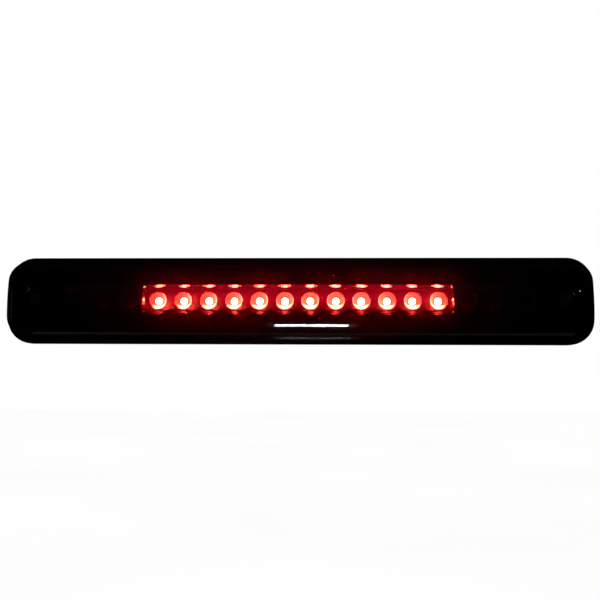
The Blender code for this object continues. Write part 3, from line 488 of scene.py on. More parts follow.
# slot: (name, darkest and lightest colour, roughness, grain, its depth), and for metals metallic, mottle, scuff
PLAIN_FINISHES = {
    "shell": ("black_abs", (0.010, 0.010, 0.011), (0.017, 0.017, 0.018), (0.36, 0.50), 2600.0, 0.00004),
    "bezel": ("gloss_black_abs", (0.008, 0.008, 0.009), (0.012, 0.012, 0.013), (0.14, 0.22), 700.0, 0.00001),
    "board": ("white_solder_mask", (0.70, 0.72, 0.70), (0.80, 0.82, 0.80), (0.30, 0.42), 1500.0, 0.00002),
    "foam": ("closed_cell_foam", (0.016, 0.016, 0.017), (0.034, 0.034, 0.035), (0.85, 0.98), 1800.0, 0.00025),
    "rubber": ("rubber", (0.014, 0.014, 0.014), (0.026, 0.026, 0.026), (0.60, 0.80), 1600.0, 0.00006),
    "sealant": ("sealant", (0.035, 0.035, 0.036), (0.060, 0.060, 0.060), (0.45, 0.65), 900.0, 0.00008),
    "steel": (
        "zinc_plated_steel", (0.52, 0.53, 0.55), (0.66, 0.67, 0.69), (0.24, 0.38), 2200.0, 0.00002,
        1.0, 200.0, 0.15,
    ),
    "terminal": (
        "tinned_brass", (0.66, 0.61, 0.46), (0.78, 0.74, 0.62), (0.20, 0.32), 2400.0, 0.00001,
        1.0, 260.0, 0.2,
    ),
    "resistor": ("resistor_body", (0.022, 0.022, 0.024), (0.040, 0.040, 0.042), (0.28, 0.42), 3000.0, 0.00001),
    "red_insulation": ("red_pvc", (0.42, 0.020, 0.020), (0.58, 0.035, 0.030), (0.38, 0.52), 1500.0, 0.00003),
    "white_insulation": ("white_pvc", (0.72, 0.72, 0.70), (0.82, 0.82, 0.80), (0.38, 0.52), 1500.0, 0.00003),
    "black_insulation": (
        "black_pvc", (0.014, 0.014, 0.014), (0.026, 0.026, 0.026), (0.38, 0.52), 1500.0, 0.00003,
    ),
}
FINISHES = {slot: plain_finish(*values) for slot, values in PLAIN_FINISHES.items()}
FINISHES["reflector"] = metallised()
FINISHES["smoked_lens"] = smoked_lens()
FINISHES["red_lamp"] = lit_lamp()
FINISHES["white_lamp"] = clear_lamp()


# ---- Lens --------------------------------------------------------------------------------------------------
def lens_face(x, z):
    return LENS_APEX + z**2 / (2 * LENS_CROWN_RADIUS) + x**2 / (2 * LENS_BOW_RADIUS)


def lens_ring(inset, depth):
    half = (LAMP_HALF.x - inset, LAMP_HALF.y - inset)
    corner = max(LAMP_CORNER - inset, min(half[1], 0.0015))
    points = outline(half, corner, 72, 13)
    points = points[-6:] + points[:-6]  # the ring starts just above z = 0, as loft's crossed ends need
    return [(x, depth(x, z), z) for x, z in points]


def lens_rings(shift):
    """Rings of the lens's skin from its middle to its base, a wall further in when shift is its thickness."""
    shoulder = LENS_INSET + LENS_DRAFT + shift
    fillet = LENS_FILLET - shift
    rings = []
    inner, outer, count = 0.0310, shoulder + fillet + 0.0008, 20
    for step in range(count + 1):
        inset = inner + (outer - inner) * step / count
        rings.append(lens_ring(inset, lambda x, z: lens_face(x, z) + shift))
    for step in range(13):
        angle = math.pi / 2 * (1 - step / 12)
        inset = shoulder + fillet * (1 - math.cos(angle))
        drop = shift + fillet * (1 - math.sin(angle))
        rings.append(lens_ring(inset, lambda x, z: lens_face(x, z) + drop))
    base_inset = LENS_INSET + shift
    rings.append(lens_ring(base_inset, lambda x, z: LIP_FRONT - GAP))
    rings.append(lens_ring(base_inset, lambda x, z: LENS_BASE))
    return rings


def make_lens():
    tunnels, bores = bmesh.new(), bmesh.new()
    mouth = lens_face(SCREW_X, 0)
    seat = front_of("screw_sleeve_left") + SLEEVE_FLANGE + GAP
    tunnel = (
        (WELL_MOUTH + WELL_WALL, mouth + LENS_THICK / 2),
        (WELL_SEAT_RADIUS + WELL_WALL, back_of("lens")),
    )
    bore = (
        (WELL_MOUTH + 0.0030, mouth - 0.0030),
        (WELL_MOUTH + 0.0010, mouth - 0.0001),
        (WELL_MOUTH + 0.0003, mouth + 0.0002),
        (WELL_MOUTH, mouth + 0.0010),
        (WELL_SEAT_RADIUS, seat),
        (SLEEVE_HOLE, seat),
        (SLEEVE_HOLE, back_of("lens") + MARGIN),
    )
    for x in (-SCREW_X, SCREW_X):
        turned(tunnels, tunnel, centre=(x, 0))
        turned(bores, bore, (0, 0.0006, 0.0005, 0.0006, 0.0004, 0.0002, 0), (x, 0))
    bm = loft(bmesh.new(), lens_rings(0.0) + lens_rings(LENS_THICK)[::-1], "crossed")
    tools = (("UNION", tunnels), ("DIFFERENCE", bores))
    return add_piece("lens_moulding", bm, "smoked_lens", "lens", tools=tools)


# ---- Housing, gasket and bezel -----------------------------------------------------------------------------
def lamp_spec(inset, y):
    return inset_spec(LAMP_HALF, LAMP_CORNER, inset, y)


def make_housing():
    def tub(inset, y):
        return inset_spec(TUB_HALF, TUB_CORNER, inset, y)

    groove_end = LENS_INSET + LENS_THICK + GAP
    inner_lip_end = groove_end + LIP_WALL
    profile = (
        (tub(0.0060, TUB_BACK), 0),
        (tub(TUB_DRAFT, TUB_BACK), 0.0016),
        (tub(0, FLANGE_BACK), 0.0010),
        (tub(-0.0040, FLANGE_BACK), 0),
        (lamp_spec(0.0040, FLANGE_BACK), 0),
        (lamp_spec(0, FLANGE_BACK), 0.0005),
        (lamp_spec(0, LIP_FRONT), 0.0005),
        (lamp_spec(LIP_WALL, LIP_FRONT), 0.0004),
        (lamp_spec(LIP_WALL, FLANGE_FRONT), 0),
        (lamp_spec(groove_end, FLANGE_FRONT), 0),
        (lamp_spec(groove_end, LIP_FRONT), 0.0003),
        (lamp_spec(inner_lip_end, LIP_FRONT), 0.0003),
        (lamp_spec(inner_lip_end, FLANGE_FRONT), 0),
        (tub(TUB_WALL - 0.0040, FLANGE_FRONT), 0),
        (tub(TUB_WALL, FLANGE_FRONT), 0.0010),
        (tub(TUB_WALL + TUB_DRAFT, TUB_BACK - TUB_WALL), 0.0012),
        (tub(TUB_WALL + 0.0060, TUB_BACK - TUB_WALL), 0),
    )
    specs, setbacks = zip(*profile)
    shell = loft(bmesh.new(), [place_ring(spec) for spec in soften(specs, setbacks)])

    added, cut = bmesh.new(), bmesh.new()
    for x in (-SCREW_X, SCREW_X):
        rod(added, WELL_SEAT_RADIUS + WELL_WALL, back_of("lens") + GAP, FLANGE_FRONT + MARGIN, (x, 0))
        rod(cut, SLEEVE_RADIUS + GAP, back_of("lens") - MARGIN, MARGIN, (x, 0))
    for name in BEZEL_SCREWS:
        low, high = BOXES[name]
        place = ((low.x + high.x) / 2, (low.z + high.z) / 2)
        seat = high.y - SMALL_HEAD_THICK - GAP
        rod(added, BOSS_RADIUS, back_of("inner_bezel") + GAP, TUB_BACK - MARGIN, place)
        hole, bore = SMALL_SCREW_RADIUS + GAP, COUNTERBORE_RADIUS
        flare = ((bore, TUB_BACK - 0.0004), (bore + 0.001, TUB_BACK + 0.0006))
        turned(cut, ((hole, low.y), (hole, seat), (bore, seat)) + flare, centre=place)
    for x in RIB_PLACES:
        for side in (-1, 1):
            low = (side * x - RIB_THICK / 2, TUB_BACK - MARGIN, -RIB_HALF_LENGTH)
            high = (side * x + RIB_THICK / 2, back_of("housing"), RIB_HALF_LENGTH)
            block(added, low, high, 0.0004)
    for x in PIT_PLACES:
        rod(cut, PIT_RADIUS, TUB_BACK - PIT_DEPTH, TUB_BACK + MARGIN, (x, -PIT_DROP), 40)
    inlet = middle_of("inlet_shell").x
    window = INLET_PLUG_HALF + Vector((GAP, GAP))
    through = (TUB_BACK - TUB_WALL - MARGIN, TUB_BACK + MARGIN)
    loft(cut, [place_ring((window.x, window.y, 0.0012, y), (inlet, 0)) for y in through])
    rod(cut, VENT_HOLE_RADIUS, *through, (middle_of("vent_cap").x, 0))
    add_piece("housing_moulding", shell, "shell", "housing", tools=(("UNION", added), ("DIFFERENCE", cut)))


def make_gasket():
    """The foam ring between the flange and the cab."""
    front, back = front_of("mounting_gasket"), back_of("mounting_gasket")
    inset = LAMP_HALF.y - half_of("mounting_gasket").y
    inner = TUB_HALF + Vector((GASKET_CLEARANCE, GASKET_CLEARANCE))
    corner = TUB_CORNER + GASKET_CLEARANCE
    profile = (
        (lamp_spec(inset, front), 0.0003),
        (lamp_spec(inset, back), 0.0006),
        (lamp_spec(inset + 0.0020, back), 0),
        (inset_spec(inner, corner, -0.0020, back), 0),
        (inset_spec(inner, corner, 0, back), 0.0006),
        (inset_spec(inner, corner, 0, front), 0.0003),
    )
    specs, setbacks = zip(*profile)
    body = loft(bmesh.new(), [place_ring(spec) for spec in soften(specs, setbacks, closed=True)], "joined")
    holes = bmesh.new()
    for x in (-SCREW_X, SCREW_X):
        rod(holes, GASKET_HOLE_RADIUS, front - MARGIN, back + MARGIN, (x, 0))
    add_piece("foam_gasket", body, "foam", "mounting_gasket", tools=(("DIFFERENCE", holes),))


def make_bezel():
    """The black frame round the reflectors, its plateau and its openings with rounded edges."""
    skirt_back = back_of("lens_seal")
    plateau_back = BEZEL_FRONT + BEZEL_PLATEAU
    profile = (
        (lamp_spec(0.0160, BEZEL_FRONT), 0),
        (lamp_spec(0.0105, BEZEL_FRONT), 0.0006),
        (lamp_spec(0.0089, BEZEL_FRONT + 0.0008), 0.0008),
        (lamp_spec(0.0078, BEZEL_FRONT + 0.0030), 0.0008),
        (lamp_spec(0.0072, skirt_back), 0),
        (lamp_spec(0.0092, skirt_back), 0),
        (lamp_spec(0.0098, BEZEL_FRONT + 0.0036), 0.0006),
        (lamp_spec(0.0113, plateau_back), 0.0004),
        (lamp_spec(0.0160, plateau_back), 0),
    )
    specs, setbacks = zip(*profile)
    frame_body = loft(bmesh.new(), [place_ring(spec) for spec in soften(specs, setbacks)])
    pillars, cuts = bmesh.new(), bmesh.new()
    for name in BEZEL_SCREWS:
        low, high = BOXES[name]
        place = ((low.x + high.x) / 2, (low.z + high.z) / 2)
        rod(pillars, PILLAR_RADIUS, plateau_back - MARGIN, back_of("inner_bezel"), place)
        rod(cuts, SMALL_SCREW_RADIUS + GAP, low.y + MARGIN, back_of("inner_bezel") + MARGIN, place, 32)
    for node in REFLECTORS:
        half = half_of(node) - Vector((TROUGH_RIM + GAP, TROUGH_RIM + GAP))
        flare = (
            (-0.0012, BEZEL_FRONT - 0.0012),
            (-0.0004, BEZEL_FRONT + 0.0001),
            (-0.0001, BEZEL_FRONT + 0.0004),
            (0.0, BEZEL_FRONT + 0.0008),
            (0.0, plateau_back + MARGIN),
        )
        specs = [inset_spec(half, TROUGH_CORNER, inset, y) for inset, y in flare]
        loft(cuts, [place_ring(spec, (middle_of(node).x, 0)) for spec in specs])
    for x in (-SCREW_X, SCREW_X):
        rod(cuts, WELL_MOUTH + WELL_WALL + 0.0005, BEZEL_FRONT - MARGIN, 0, (x, 0))
    tools = (("UNION", pillars), ("DIFFERENCE", cuts))
    add_piece("bezel_moulding", frame_body, "bezel", "inner_bezel", tools=tools)


# ---- Reflectors --------------------------------------------------------------------------------------------
def make_reflector(node, leds):
    """A metallised trough with a cone-shaped cup and a raised ring round each lamp, and posts behind."""
    centre = (middle_of(node).x, 0)
    mouth = half_of(node) - Vector((TROUGH_RIM, TROUGH_RIM))
    floor_back = TROUGH_FLOOR + CUP_WALL

    def at(ends, top, under, y):
        """A ring drawn in at its ends, above and below. The last number is how far its middle is raised."""
        half = Vector((mouth.x - ends, mouth.y - (top + under) / 2))
        return Vector((half.x, half.y, max(TROUGH_CORNER - ends, 0.0004), y, (under - top) / 2))

    wall = CUP_WALL
    profile = (
        (at(0.0050, 0.0050, 0.0050, TROUGH_FLOOR), 0),
        (at(END_DRAFT, TOP_DRAFT, UNDER_DRAFT, TROUGH_FLOOR), 0.0004),
        (at(0, 0, 0, TROUGH_FRONT), 0.0003),
        (at(-TROUGH_RIM, -TROUGH_RIM, -TROUGH_RIM, TROUGH_FRONT), 0.0003),
        (at(-TROUGH_RIM, -TROUGH_RIM, -TROUGH_RIM, TROUGH_FRONT + wall), 0.0003),
        (at(-0.0008, -0.0008, -0.0008, TROUGH_FRONT + wall), 0),
        (at(END_DRAFT - wall, TOP_DRAFT - wall, UNDER_DRAFT - wall, floor_back), 0.0004),
        (at(0.0050, 0.0050, 0.0050, floor_back), 0),
    )
    specs, setbacks = zip(*profile)
    rings = [place_ring(spec[:4], (centre[0], spec[4])) for spec in soften(specs, setbacks, 5)]
    trough = loft(bmesh.new(), rings)
    cones, posts, beads, cuts = bmesh.new(), bmesh.new(), bmesh.new(), bmesh.new()
    root = TROUGH_FLOOR + CUP_WALL / 2
    cup_back = CUP_BASE + CUP_WALL
    crest = TROUGH_FLOOR - CUP_BEAD
    flare = (CUP_RIM - CUP_FOOT) / CUP_DEPTH * CUP_FLARE
    cone = ((CUP_RIM + CUP_WALL, root), (CUP_FOOT + CUP_WALL, cup_back))
    bead = (
        (CUP_RIM - CUP_BEAD * 2, root),
        (CUP_RIM - CUP_BEAD * 2, crest),
        (CUP_RIM + CUP_BEAD * 0.6, crest),
        (CUP_RIM + CUP_BEAD * 2.4, TROUGH_FLOOR + 0.0001),
        (CUP_RIM + CUP_BEAD * 2.4, root),
    )
    cup = (
        (CUP_RIM + flare, TROUGH_FLOOR - CUP_FLARE),
        (CUP_FOOT, CUP_BASE),
        (LED_HOLE, CUP_BASE),
        (LED_HOLE, cup_back + MARGIN),
    )
    for led in leds:
        place = (middle_of(led).x, 0)
        turned(cones, cone, centre=place, steps=48)
        turned(beads, bead, (0, 0, 0.0003, 0.0003, 0), place, True, 96)
        turned(cuts, cup, (0, 0.0003, 0, 0), place, steps=96)
    for board_screw in BOARD_SCREWS[node]:
        place = (middle_of(board_screw).x, 0)
        rod(posts, POST_RADIUS, root, front_of(BOARDS[node]) - GAP, place, 32)
        rod(cuts, SMALL_SCREW_RADIUS + GAP, CUP_BASE - MARGIN, front_of(BOARDS[node]) + MARGIN, place, 32)
    tools = (("UNION", cones), ("UNION", posts), ("UNION", beads), ("DIFFERENCE", cuts))
    add_piece(node + "_metallised", trough, "reflector", node, tools=tools)


# ---- Lamps -------------------------------------------------------------------------------------------------
def led_body(bm):
    """A 5 mm lamp about its own axis: dome, barrel and flange."""
    dome = [(0.0001, LED_TIP)]
    for step in range(1, 13):
        angle = math.pi / 2 * step / 12
        dome.append((LED_RADIUS * math.sin(angle), LED_TIP + LED_RADIUS * (1 - math.cos(angle))))
    shoulder = LED_BASE - LED_FLANGE
    rim = LED_RADIUS + 0.0004
    barrel = ((LED_RADIUS, shoulder - LED_FLANGE), (LED_RADIUS, shoulder), (rim, shoulder))
    base = soften([Vector(point) for point in barrel], (0, 0.0002, 0), 2)
    base += [(rim, shoulder + 0.0001), (rim, LED_BASE - 0.0001), (rim - 0.0001, LED_BASE)]
    return turned(bm, dome + base, steps=48)


def make_leds():
    cargo_leds = CARGO_LEDS["left"] + CARGO_LEDS["right"]
    for slot, nodes in (("red_lamp", BRAKE_LEDS), ("white_lamp", cargo_leds)):
        for node in nodes:
            place = (middle_of(node).x, 0, 0)
            add_piece(node + "_lamp", led_body(bmesh.new()), slot, node, centre=place)


# ---- Screws, sleeves and washers ---------------------------------------------------------------------------
def cross_recess(bm, crown, arm, half, depth):
    """A cutter for a cross recess in a head whose crown faces -Y, tapered to its floor."""
    cross = []
    for quarter in range(4):
        sine, cosine = math.sin(math.pi / 2 * quarter), math.cos(math.pi / 2 * quarter)
        for x, z in ((arm, -half), (arm, half), (half * 1.5, half), (half, half * 1.5)):
            cross.append((x * cosine - z * sine, x * sine + z * cosine))
    rings = []
    levels = ((1.12, crown - MARGIN), (1.06, crown), (0.94, crown + depth * 0.25), (0.45, crown + depth))
    for scale, y in levels:
        rings.append([(x * scale, y, z * scale) for x, z in cross])
    return loft(bm, rings)


def threaded_shank(bm, start, end):
    """A right-hand thread round Y from start to a point at end: a skin whose crest lies along its edges."""
    around, fine = 40, 8  # steps in a turn, and rows in a pitch
    rows = int((end - start) / THREAD_PITCH * fine) + fine + 2
    grid = []
    for row in range(rows):
        ring = []
        phase = (row % fine) / fine
        crest = max(0.0, 1 - abs(phase - 0.5) / 0.32)
        for step in range(around):
            share = step / around
            y = start + (row / fine + share - 1) * THREAD_PITCH
            y = min(max(y, start), end)
            taper = min(1.0, (end - y) / SCREW_POINT)
            fade = min(1.0, (y - start) / (THREAD_PITCH * 0.8))
            radius = (SCREW_ROOT + (SCREW_RADIUS - SCREW_ROOT) * crest * fade) * taper**0.8 + 0.00005
            angle = math.tau * share
            ring.append((radius * math.sin(angle), y, radius * math.cos(angle)))
        grid.append([bm.verts.new(p) for p in ring])
    for row in range(rows - 1):
        for step in range(around):
            after = (step + 1) % around
            climb = row + (after == 0)  # a turn's last step joins the next row
            if climb + 1 < rows:
                corners = (grid[row][step], grid[climb][after], grid[climb + 1][after], grid[row + 1][step])
                bm.faces.new(corners)
    return bm


def make_mounting_screw(side):
    """One end's steel sleeve, and the rubber washer and the threaded screw that back out of it."""
    parts = ("screw_sleeve", "sealing_washer", "mounting_screw")
    sleeve, washer, screw = (f"{part}_{side}" for part in parts)
    axis = (middle_of(screw).x, 0, 0)

    front, end, radius = front_of(sleeve), back_of(sleeve), half_of(sleeve).x
    section = (
        (SLEEVE_BORE, front),
        (radius, front),
        (radius, front + SLEEVE_FLANGE),
        (SLEEVE_RADIUS, front + SLEEVE_FLANGE),
        (SLEEVE_RADIUS, end),
        (SLEEVE_BORE, end),
    )
    body = turned(bmesh.new(), section, (0.0002, 0.0003, 0.0002, 0.0001, 0.0002, 0.0002), ring_shaped=True)
    add_piece(f"sleeve_{side}", body, "steel", sleeve, centre=axis)

    front, back, radius = front_of(washer), back_of(washer), half_of(washer).x
    section = ((SCREW_RADIUS + GAP, front), (radius, front), (radius, back), (SCREW_RADIUS + GAP, back))
    body = turned(bmesh.new(), section, (0.0002, 0.0005, 0.0005, 0.0002), ring_shaped=True)
    add_piece(f"washer_{side}", body, "rubber", washer, f"{side}_washer", centre=axis)

    seat = front - GAP
    crown, tip, radius = front_of(screw), back_of(screw), half_of(screw).x
    thick = seat - crown
    head = (
        (0.0002, crown),
        (radius * 0.55, crown),
        (radius * 0.90, crown + thick * 0.2),
        (radius, crown + thick * 0.5),
        (radius, seat),
        (SCREW_RADIUS, seat),
        (SCREW_ROOT, seat + 0.0008),
        (SCREW_ROOT, seat + 0.0030),
    )
    body = turned(bmesh.new(), head, (0, 0.0008, 0.0006, 0.0006, 0.0004, 0.0003, 0.0003, 0))
    tools = (("DIFFERENCE", cross_recess(bmesh.new(), crown, 0.0026, 0.00045, 0.0019)),)
    add_piece(f"tapping_screw_{side}", body, "steel", screw, f"{side}_screw", tools, axis)
    thread = threaded_shank(bmesh.new(), seat + 0.0012, tip)
    add_piece(f"tapping_screw_thread_{side}", thread, "steel", screw, f"{side}_screw", centre=axis)


def make_bezel_screws():
    """Small pan-head screws in the counterbores of the tub's back, their heads towards +Y."""
    for node in BEZEL_SCREWS:
        low, high = BOXES[node]
        place = ((low.x + high.x) / 2, 0, (low.z + high.z) / 2)
        radius = (high.x - low.x) / 2
        seat = high.y - SMALL_HEAD_THICK
        section = (
            (0.0003, low.y),
            (SMALL_SCREW_RADIUS, low.y + 0.0016),
            (SMALL_SCREW_RADIUS, seat),
            (radius, seat),
            (radius, seat + SMALL_HEAD_THICK * 0.55),
            (radius * 0.7, high.y),
            (0.0002, high.y),
        )
        body = turned(bmesh.new(), section, (0, 0.0002, 0.0001, 0.0002, 0.0006, 0.0005, 0), steps=40)
        recess = cross_recess(bmesh.new(), 0.0, 0.0014, 0.00026, 0.0011)
        for vert in recess.verts:
            vert.co.y = high.y - vert.co.y
        add_piece(node + "_pan_head", body, "steel", node, tools=(("DIFFERENCE", recess),), centre=place)


# ---- Inlet and vent ----------------------------------------------------------------------------------------
def make_inlet():
    low, high = BOXES["inlet_shell"]
    centre = ((low.x + high.x) / 2, 0)
    flange_half = half_of("inlet_shell")
    flange_front = back_of("inlet_seal") + GAP
    flange_back = flange_front + 0.0022
    floor = flange_front + 0.0012

    def at(half, corner, y):
        return Vector((half[0], half[1], corner, y))

    profile = (
        (at(INLET_PLUG_HALF, 0.0012, low.y), 0.0004),
        (at(INLET_PLUG_HALF, 0.0012, flange_front), 0),
        (at(flange_half, 0.0030, flange_front), 0.0003),
        (at(flange_half, 0.0030, flange_back), 0.0005),
        (at(INLET_SHROUD_HALF, 0.0020, flange_back), 0.0004),
        (at(INLET_SHROUD_HALF, 0.0020, high.y), 0.0004),
        (at(INLET_CAVITY_HALF, 0.0010, high.y), 0.0004),
        (at(INLET_CAVITY_HALF, 0.0010, floor), 0.0003),
    )
    specs, setbacks = zip(*profile)
    body = loft(bmesh.new(), [place_ring(spec, centre) for spec in soften(specs, setbacks)])
    added, slots = bmesh.new(), bmesh.new()
    top = INLET_SHROUD_HALF.y
    for x, half, rise in INLET_KEYS:
        key_low = (centre[0] + x - half, flange_back - 0.0004, top - 0.0006)
        key_high = (centre[0] + x + half, high.y - 0.0030, top + rise)
        block(added, key_low, key_high, 0.0003)
    slot_half = BLADE_SLOT_HALF
    for name in TERMINALS:
        x = middle_of(name).x
        slot_low = (x - slot_half.x, low.y - MARGIN, -slot_half.y)
        block(slots, slot_low, (x + slot_half.x, floor + MARGIN, slot_half.y))
    add_piece("inlet_moulding", body, "shell", "inlet_shell", tools=(("UNION", added), ("DIFFERENCE", slots)))

    front, back = front_of("inlet_seal"), back_of("inlet_seal")
    edge = half_of("inlet_seal")
    window = INLET_PLUG_HALF + Vector((GAP, GAP))
    specs = [at(edge, 0.0022, y) for y in (front, back)] + [at(window, 0.0012, y) for y in (back, front)]
    rings = [place_ring(spec, centre) for spec in soften(specs, (0.0003,) * 4, closed=True)]
    add_piece("inlet_gasket", loft(bmesh.new(), rings, "joined"), "rubber", "inlet_seal")

    for name in TERMINALS:
        low, high = BOXES[name]
        half = half_of(name)
        x = (low.x + high.x) / 2
        blade = [(half, low.y), (half, high.y - 0.0016), (half - Vector((0.0007, 0.00025)), high.y)]
        rings = [place_ring((size[0], size[1], 0.0001, y), (x, 0)) for size, y in blade]
        add_piece(name + "_blade", loft(bmesh.new(), rings), "terminal", name)


def make_vent():
    low, high = BOXES["vent_cap"]
    place = ((low.x + high.x) / 2, 0, 0)
    radius = (high.x - low.x) / 2
    skirt = TUB_BACK + GAP
    top = high.y
    section = (
        (0.0003, low.y),
        (0.0018, low.y),
        (0.0022, low.y + 0.0008),
        (0.0022, skirt),
        (radius * 0.94, skirt),
        (radius, skirt + 0.0011),
        (radius * 0.86, top - 0.0003),
        (radius * 0.55, top),
        (radius * 0.45, top - 0.0006),
        (0.0003, top - 0.0006),
    )
    roundings = (0, 0.0003, 0.0003, 0, 0.0003, 0.0006, 0.0006, 0.0003, 0.0003, 0)
    body = turned(bmesh.new(), section, roundings, steps=48)
    slots = bmesh.new()
    for quarter in range(4):
        angle = math.pi / 4 + math.pi / 2 * quarter
        middle = Vector((math.cos(angle), 0, math.sin(angle))) * radius
        slot_low = middle + Vector((-0.0008, skirt - MARGIN, -0.0008))
        block(slots, slot_low, middle + Vector((0.0008, skirt + 0.0012, 0.0008)))
    add_piece("breather_cap", body, "rubber", "vent_cap", tools=(("DIFFERENCE", slots),), centre=place)


lens_piece = make_lens()
make_housing()
make_gasket()
make_bezel()
make_reflector("brake_reflector", BRAKE_LEDS)
for side in SIDES:
    make_reflector(f"cargo_reflector_{side}", CARGO_LEDS[side])
    make_mounting_screw(side)
make_leds()
make_bezel_screws()
make_inlet()
make_vent()

# ---- CAD nodes that stay -----------------------------------------------------------------------------------
for part in frame["record"]["subparts"]:
    node = frame["nodes"][part["node"]]
    if not node.hide_render:
        for place in node.material_slots:
            place.material = FINISHES[part["material_slot"]]


# ---- Studio ------------------------------------------------------------------------------------------------
WHITE, COOL_WHITE = (1, 1, 1), (0.90, 0.94, 1.0)
SOFTBOXES = {  # place, width and height, power and colour; each faces the origin
    "overhead": ((0, 0.7, 1.3), (2.4, 1.6), 40, WHITE),
    "strip": ((0.0005, -0.62, -0.160), (0.119, 0.016), 0.18, COOL_WHITE),
    "back_left": ((-0.7, 0.8, 0.5), (0.7, 0.4), 9, WHITE),
    "back_right": ((0.8, 0.8, 0.3), (0.5, 0.5), 6, WHITE),
    "left_edge": ((-0.9, -0.15, 0), (0.10, 0.25), 0.01, WHITE),
    "bottom_edge": ((0, -0.35, -0.9), (1.2, 0.3), 0.10, WHITE),
}
LENS_ONLY, ALL_BUT_LENS = ("strip", "left_edge", "bottom_edge"), ("back_left", "back_right")
GLOW_RED = (1.0, 0.0, 0.016)
GLOW_POWER, GLOW_HEIGHT, GLOW_RADIUS = 0.010, 0.0050, 0.0008  # red light in front of the floor over each lamp
LEAK_POWERS, LEAK_DEPTH = (0.00015, 0.00008), 0.0008  # what reaches the two nearest cargo cups
ROW_POWER, ROW_HEIGHT, ROW_RISE = 0.024, 0.0045, 0.0018  # a thin red line along the whole row
WASH_POWER, WASH_RED, WASH_DEPTH, WASH_RISE = 0.11, (1.0, 0.004, 0.09), 0.014, 0.001  # spreads in the lens
LINE_WIDTH, LINE_OVERHANG = 0.001, 0.004
FLOOR_HEIGHT, FLOOR_HALF = -0.18, 4.0
WORLD_CAST = 0.0015
CAMERA_LENS = 45
CAMERA_DISTANCE = 0.5506
CAMERA_AZIMUTH = 2.0
CAMERA_ELEVATION = -7.0
CAMERA_ROLL = 0.3
CAMERA_TARGET = Vector((0.0016, -0.0020, 0.0014))


def add_light(name, kind, place, power, colour, glossy):
    data = bpy.data.lights.new(name, kind)
    data.energy = power
    data.color = colour
    light = bpy.data.objects.new(name, data)
    light.location = place
    light.visible_camera = False
    light.visible_glossy = glossy
    bpy.context.scene.collection.objects.link(light)
    return light


def area_light(name, place, target, size, power, colour, glossy=True):
    light = add_light(name, "AREA", place, power, colour, glossy)
    light.data.shape = "RECTANGLE"
    light.data.size, light.data.size_y = size
    light.rotation_mode = "QUATERNION"
    light.rotation_quaternion = (Vector(target) - Vector(place)).to_track_quat("-Z", "Y")
    return light


def glow_light(node, power, y):
    """Red light in the haze of the reflector, over one lamp."""
    light = add_light(node + "_glow", "POINT", (middle_of(node).x, y, 0), power, GLOW_RED, False)
    light.data.shadow_soft_size = GLOW_RADIUS


def link_light(light, piece, state):
    """Lets a light reach one piece alone, or everything else when state is "EXCLUDE"."""
    receivers = bpy.data.collections.new(light.name + "_receivers")
    receivers.objects.link(piece)
    light.light_linking.receiver_collection = receivers
    receivers.collection_objects[0].light_linking.link_state = state


def make_lights(lens):
    for name, (place, size, power, colour) in SOFTBOXES.items():
        light = area_light(name, place, (0, 0, 0), size, power, colour, name != "overhead")
        if name in LENS_ONLY:
            link_light(light, lens, "INCLUDE")
        elif name in ALL_BUT_LENS:
            link_light(light, lens, "EXCLUDE")
    for node in BRAKE_LEDS:
        glow_light(node, GLOW_POWER, TROUGH_FLOOR - GLOW_HEIGHT)
    for side in SIDES:
        for node, power in zip(CARGO_LEDS[side], LEAK_POWERS):
            glow_light(node, power, TROUGH_FLOOR + LEAK_DEPTH)
    line = (2 * middle_of(BRAKE_LEDS[-1]).x + LINE_OVERHANG, LINE_WIDTH)
    place = Vector((0, TROUGH_FLOOR - ROW_HEIGHT, ROW_RISE))
    area_light("red_row", place, place + Vector((0, 1, 0)), line, ROW_POWER, GLOW_RED, False)
    place = Vector((0, TROUGH_FLOOR + WASH_DEPTH, WASH_RISE))
    wash = area_light("red_wash", place, (0, -1, 0), line, WASH_POWER, WASH_RED, False)
    wash.data.use_shadow = False
    link_light(wash, lens, "INCLUDE")


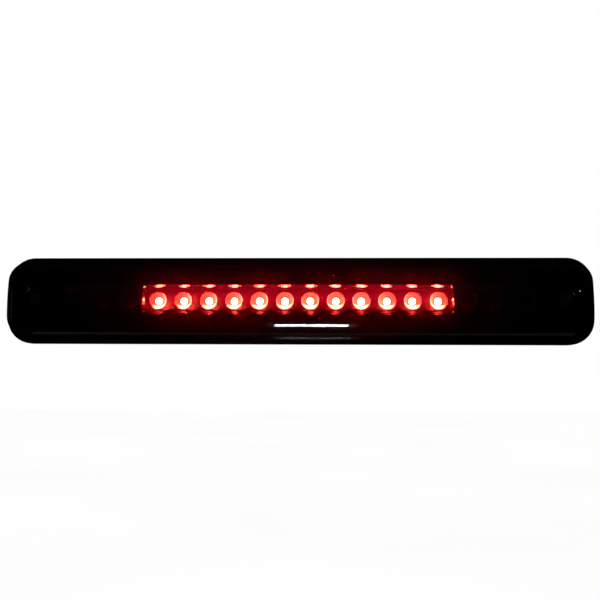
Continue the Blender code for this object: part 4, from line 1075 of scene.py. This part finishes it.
def make_floor():
    """A lit table: as white as the backdrop, and unseen by the lamp's own surfaces."""
    made = Finish("studio_floor")
    tint = made.mix(made.spread(made.noise(3.0), 0, 1), grey(0.97), grey(1.0))
    shader = made.add("Emission", {"Color": tint, "Strength": 1.0})
    bm = bmesh.new()
    bmesh.ops.create_grid(bm, x_segments=1, y_segments=1, size=FLOOR_HALF)
    floor = mesh_object("studio_floor", bm)
    floor.data.materials.append(made.out(shader))
    floor.location = (0, 0, FLOOR_HEIGHT)
    floor.visible_glossy = False
    floor.visible_diffuse = False
    floor.visible_transmission = False


def make_world():
    """White where the camera sees it, and nearly dark to the lamp's surfaces."""
    world = bpy.data.worlds.new("studio")
    world.use_nodes = True
    tree = world.node_tree
    tree.nodes.clear()
    path = tree.nodes.new("ShaderNodeLightPath")
    seen = tree.nodes.new("ShaderNodeBackground")
    seen.inputs["Color"].default_value = rgb(1, 1, 1)
    seen.inputs["Strength"].default_value = 1.0
    cast = tree.nodes.new("ShaderNodeBackground")
    cast.inputs["Color"].default_value = rgb(0.9, 0.95, 1.0)
    cast.inputs["Strength"].default_value = WORLD_CAST
    both = tree.nodes.new("ShaderNodeMixShader")
    out = tree.nodes.new("ShaderNodeOutputWorld")
    tree.links.new(path.outputs["Is Camera Ray"], both.inputs[0])
    tree.links.new(cast.outputs[0], both.inputs[1])
    tree.links.new(seen.outputs[0], both.inputs[2])
    tree.links.new(both.outputs[0], out.inputs["Surface"])
    bpy.context.scene.world = world


def make_camera():
    data = bpy.data.cameras.new("camera")
    data.lens = CAMERA_LENS
    camera = bpy.data.objects.new("camera", data)
    azimuth, elevation = math.radians(CAMERA_AZIMUTH), math.radians(CAMERA_ELEVATION)
    level = Vector((math.sin(azimuth), -math.cos(azimuth), 0))
    back = level * math.cos(elevation) + Vector((0, 0, math.sin(elevation)))
    camera.location = CAMERA_TARGET + back * CAMERA_DISTANCE
    camera.rotation_mode = "QUATERNION"
    upright = (-back).to_track_quat("-Z", "Y")
    camera.rotation_quaternion = upright @ Quaternion((0, 0, 1), math.radians(CAMERA_ROLL))
    bpy.context.scene.collection.objects.link(camera)
    bpy.context.scene.camera = camera


make_world()
make_floor()
make_lights(lens_piece)
make_camera()
bpy.context.scene.view_settings.view_transform = "Standard"
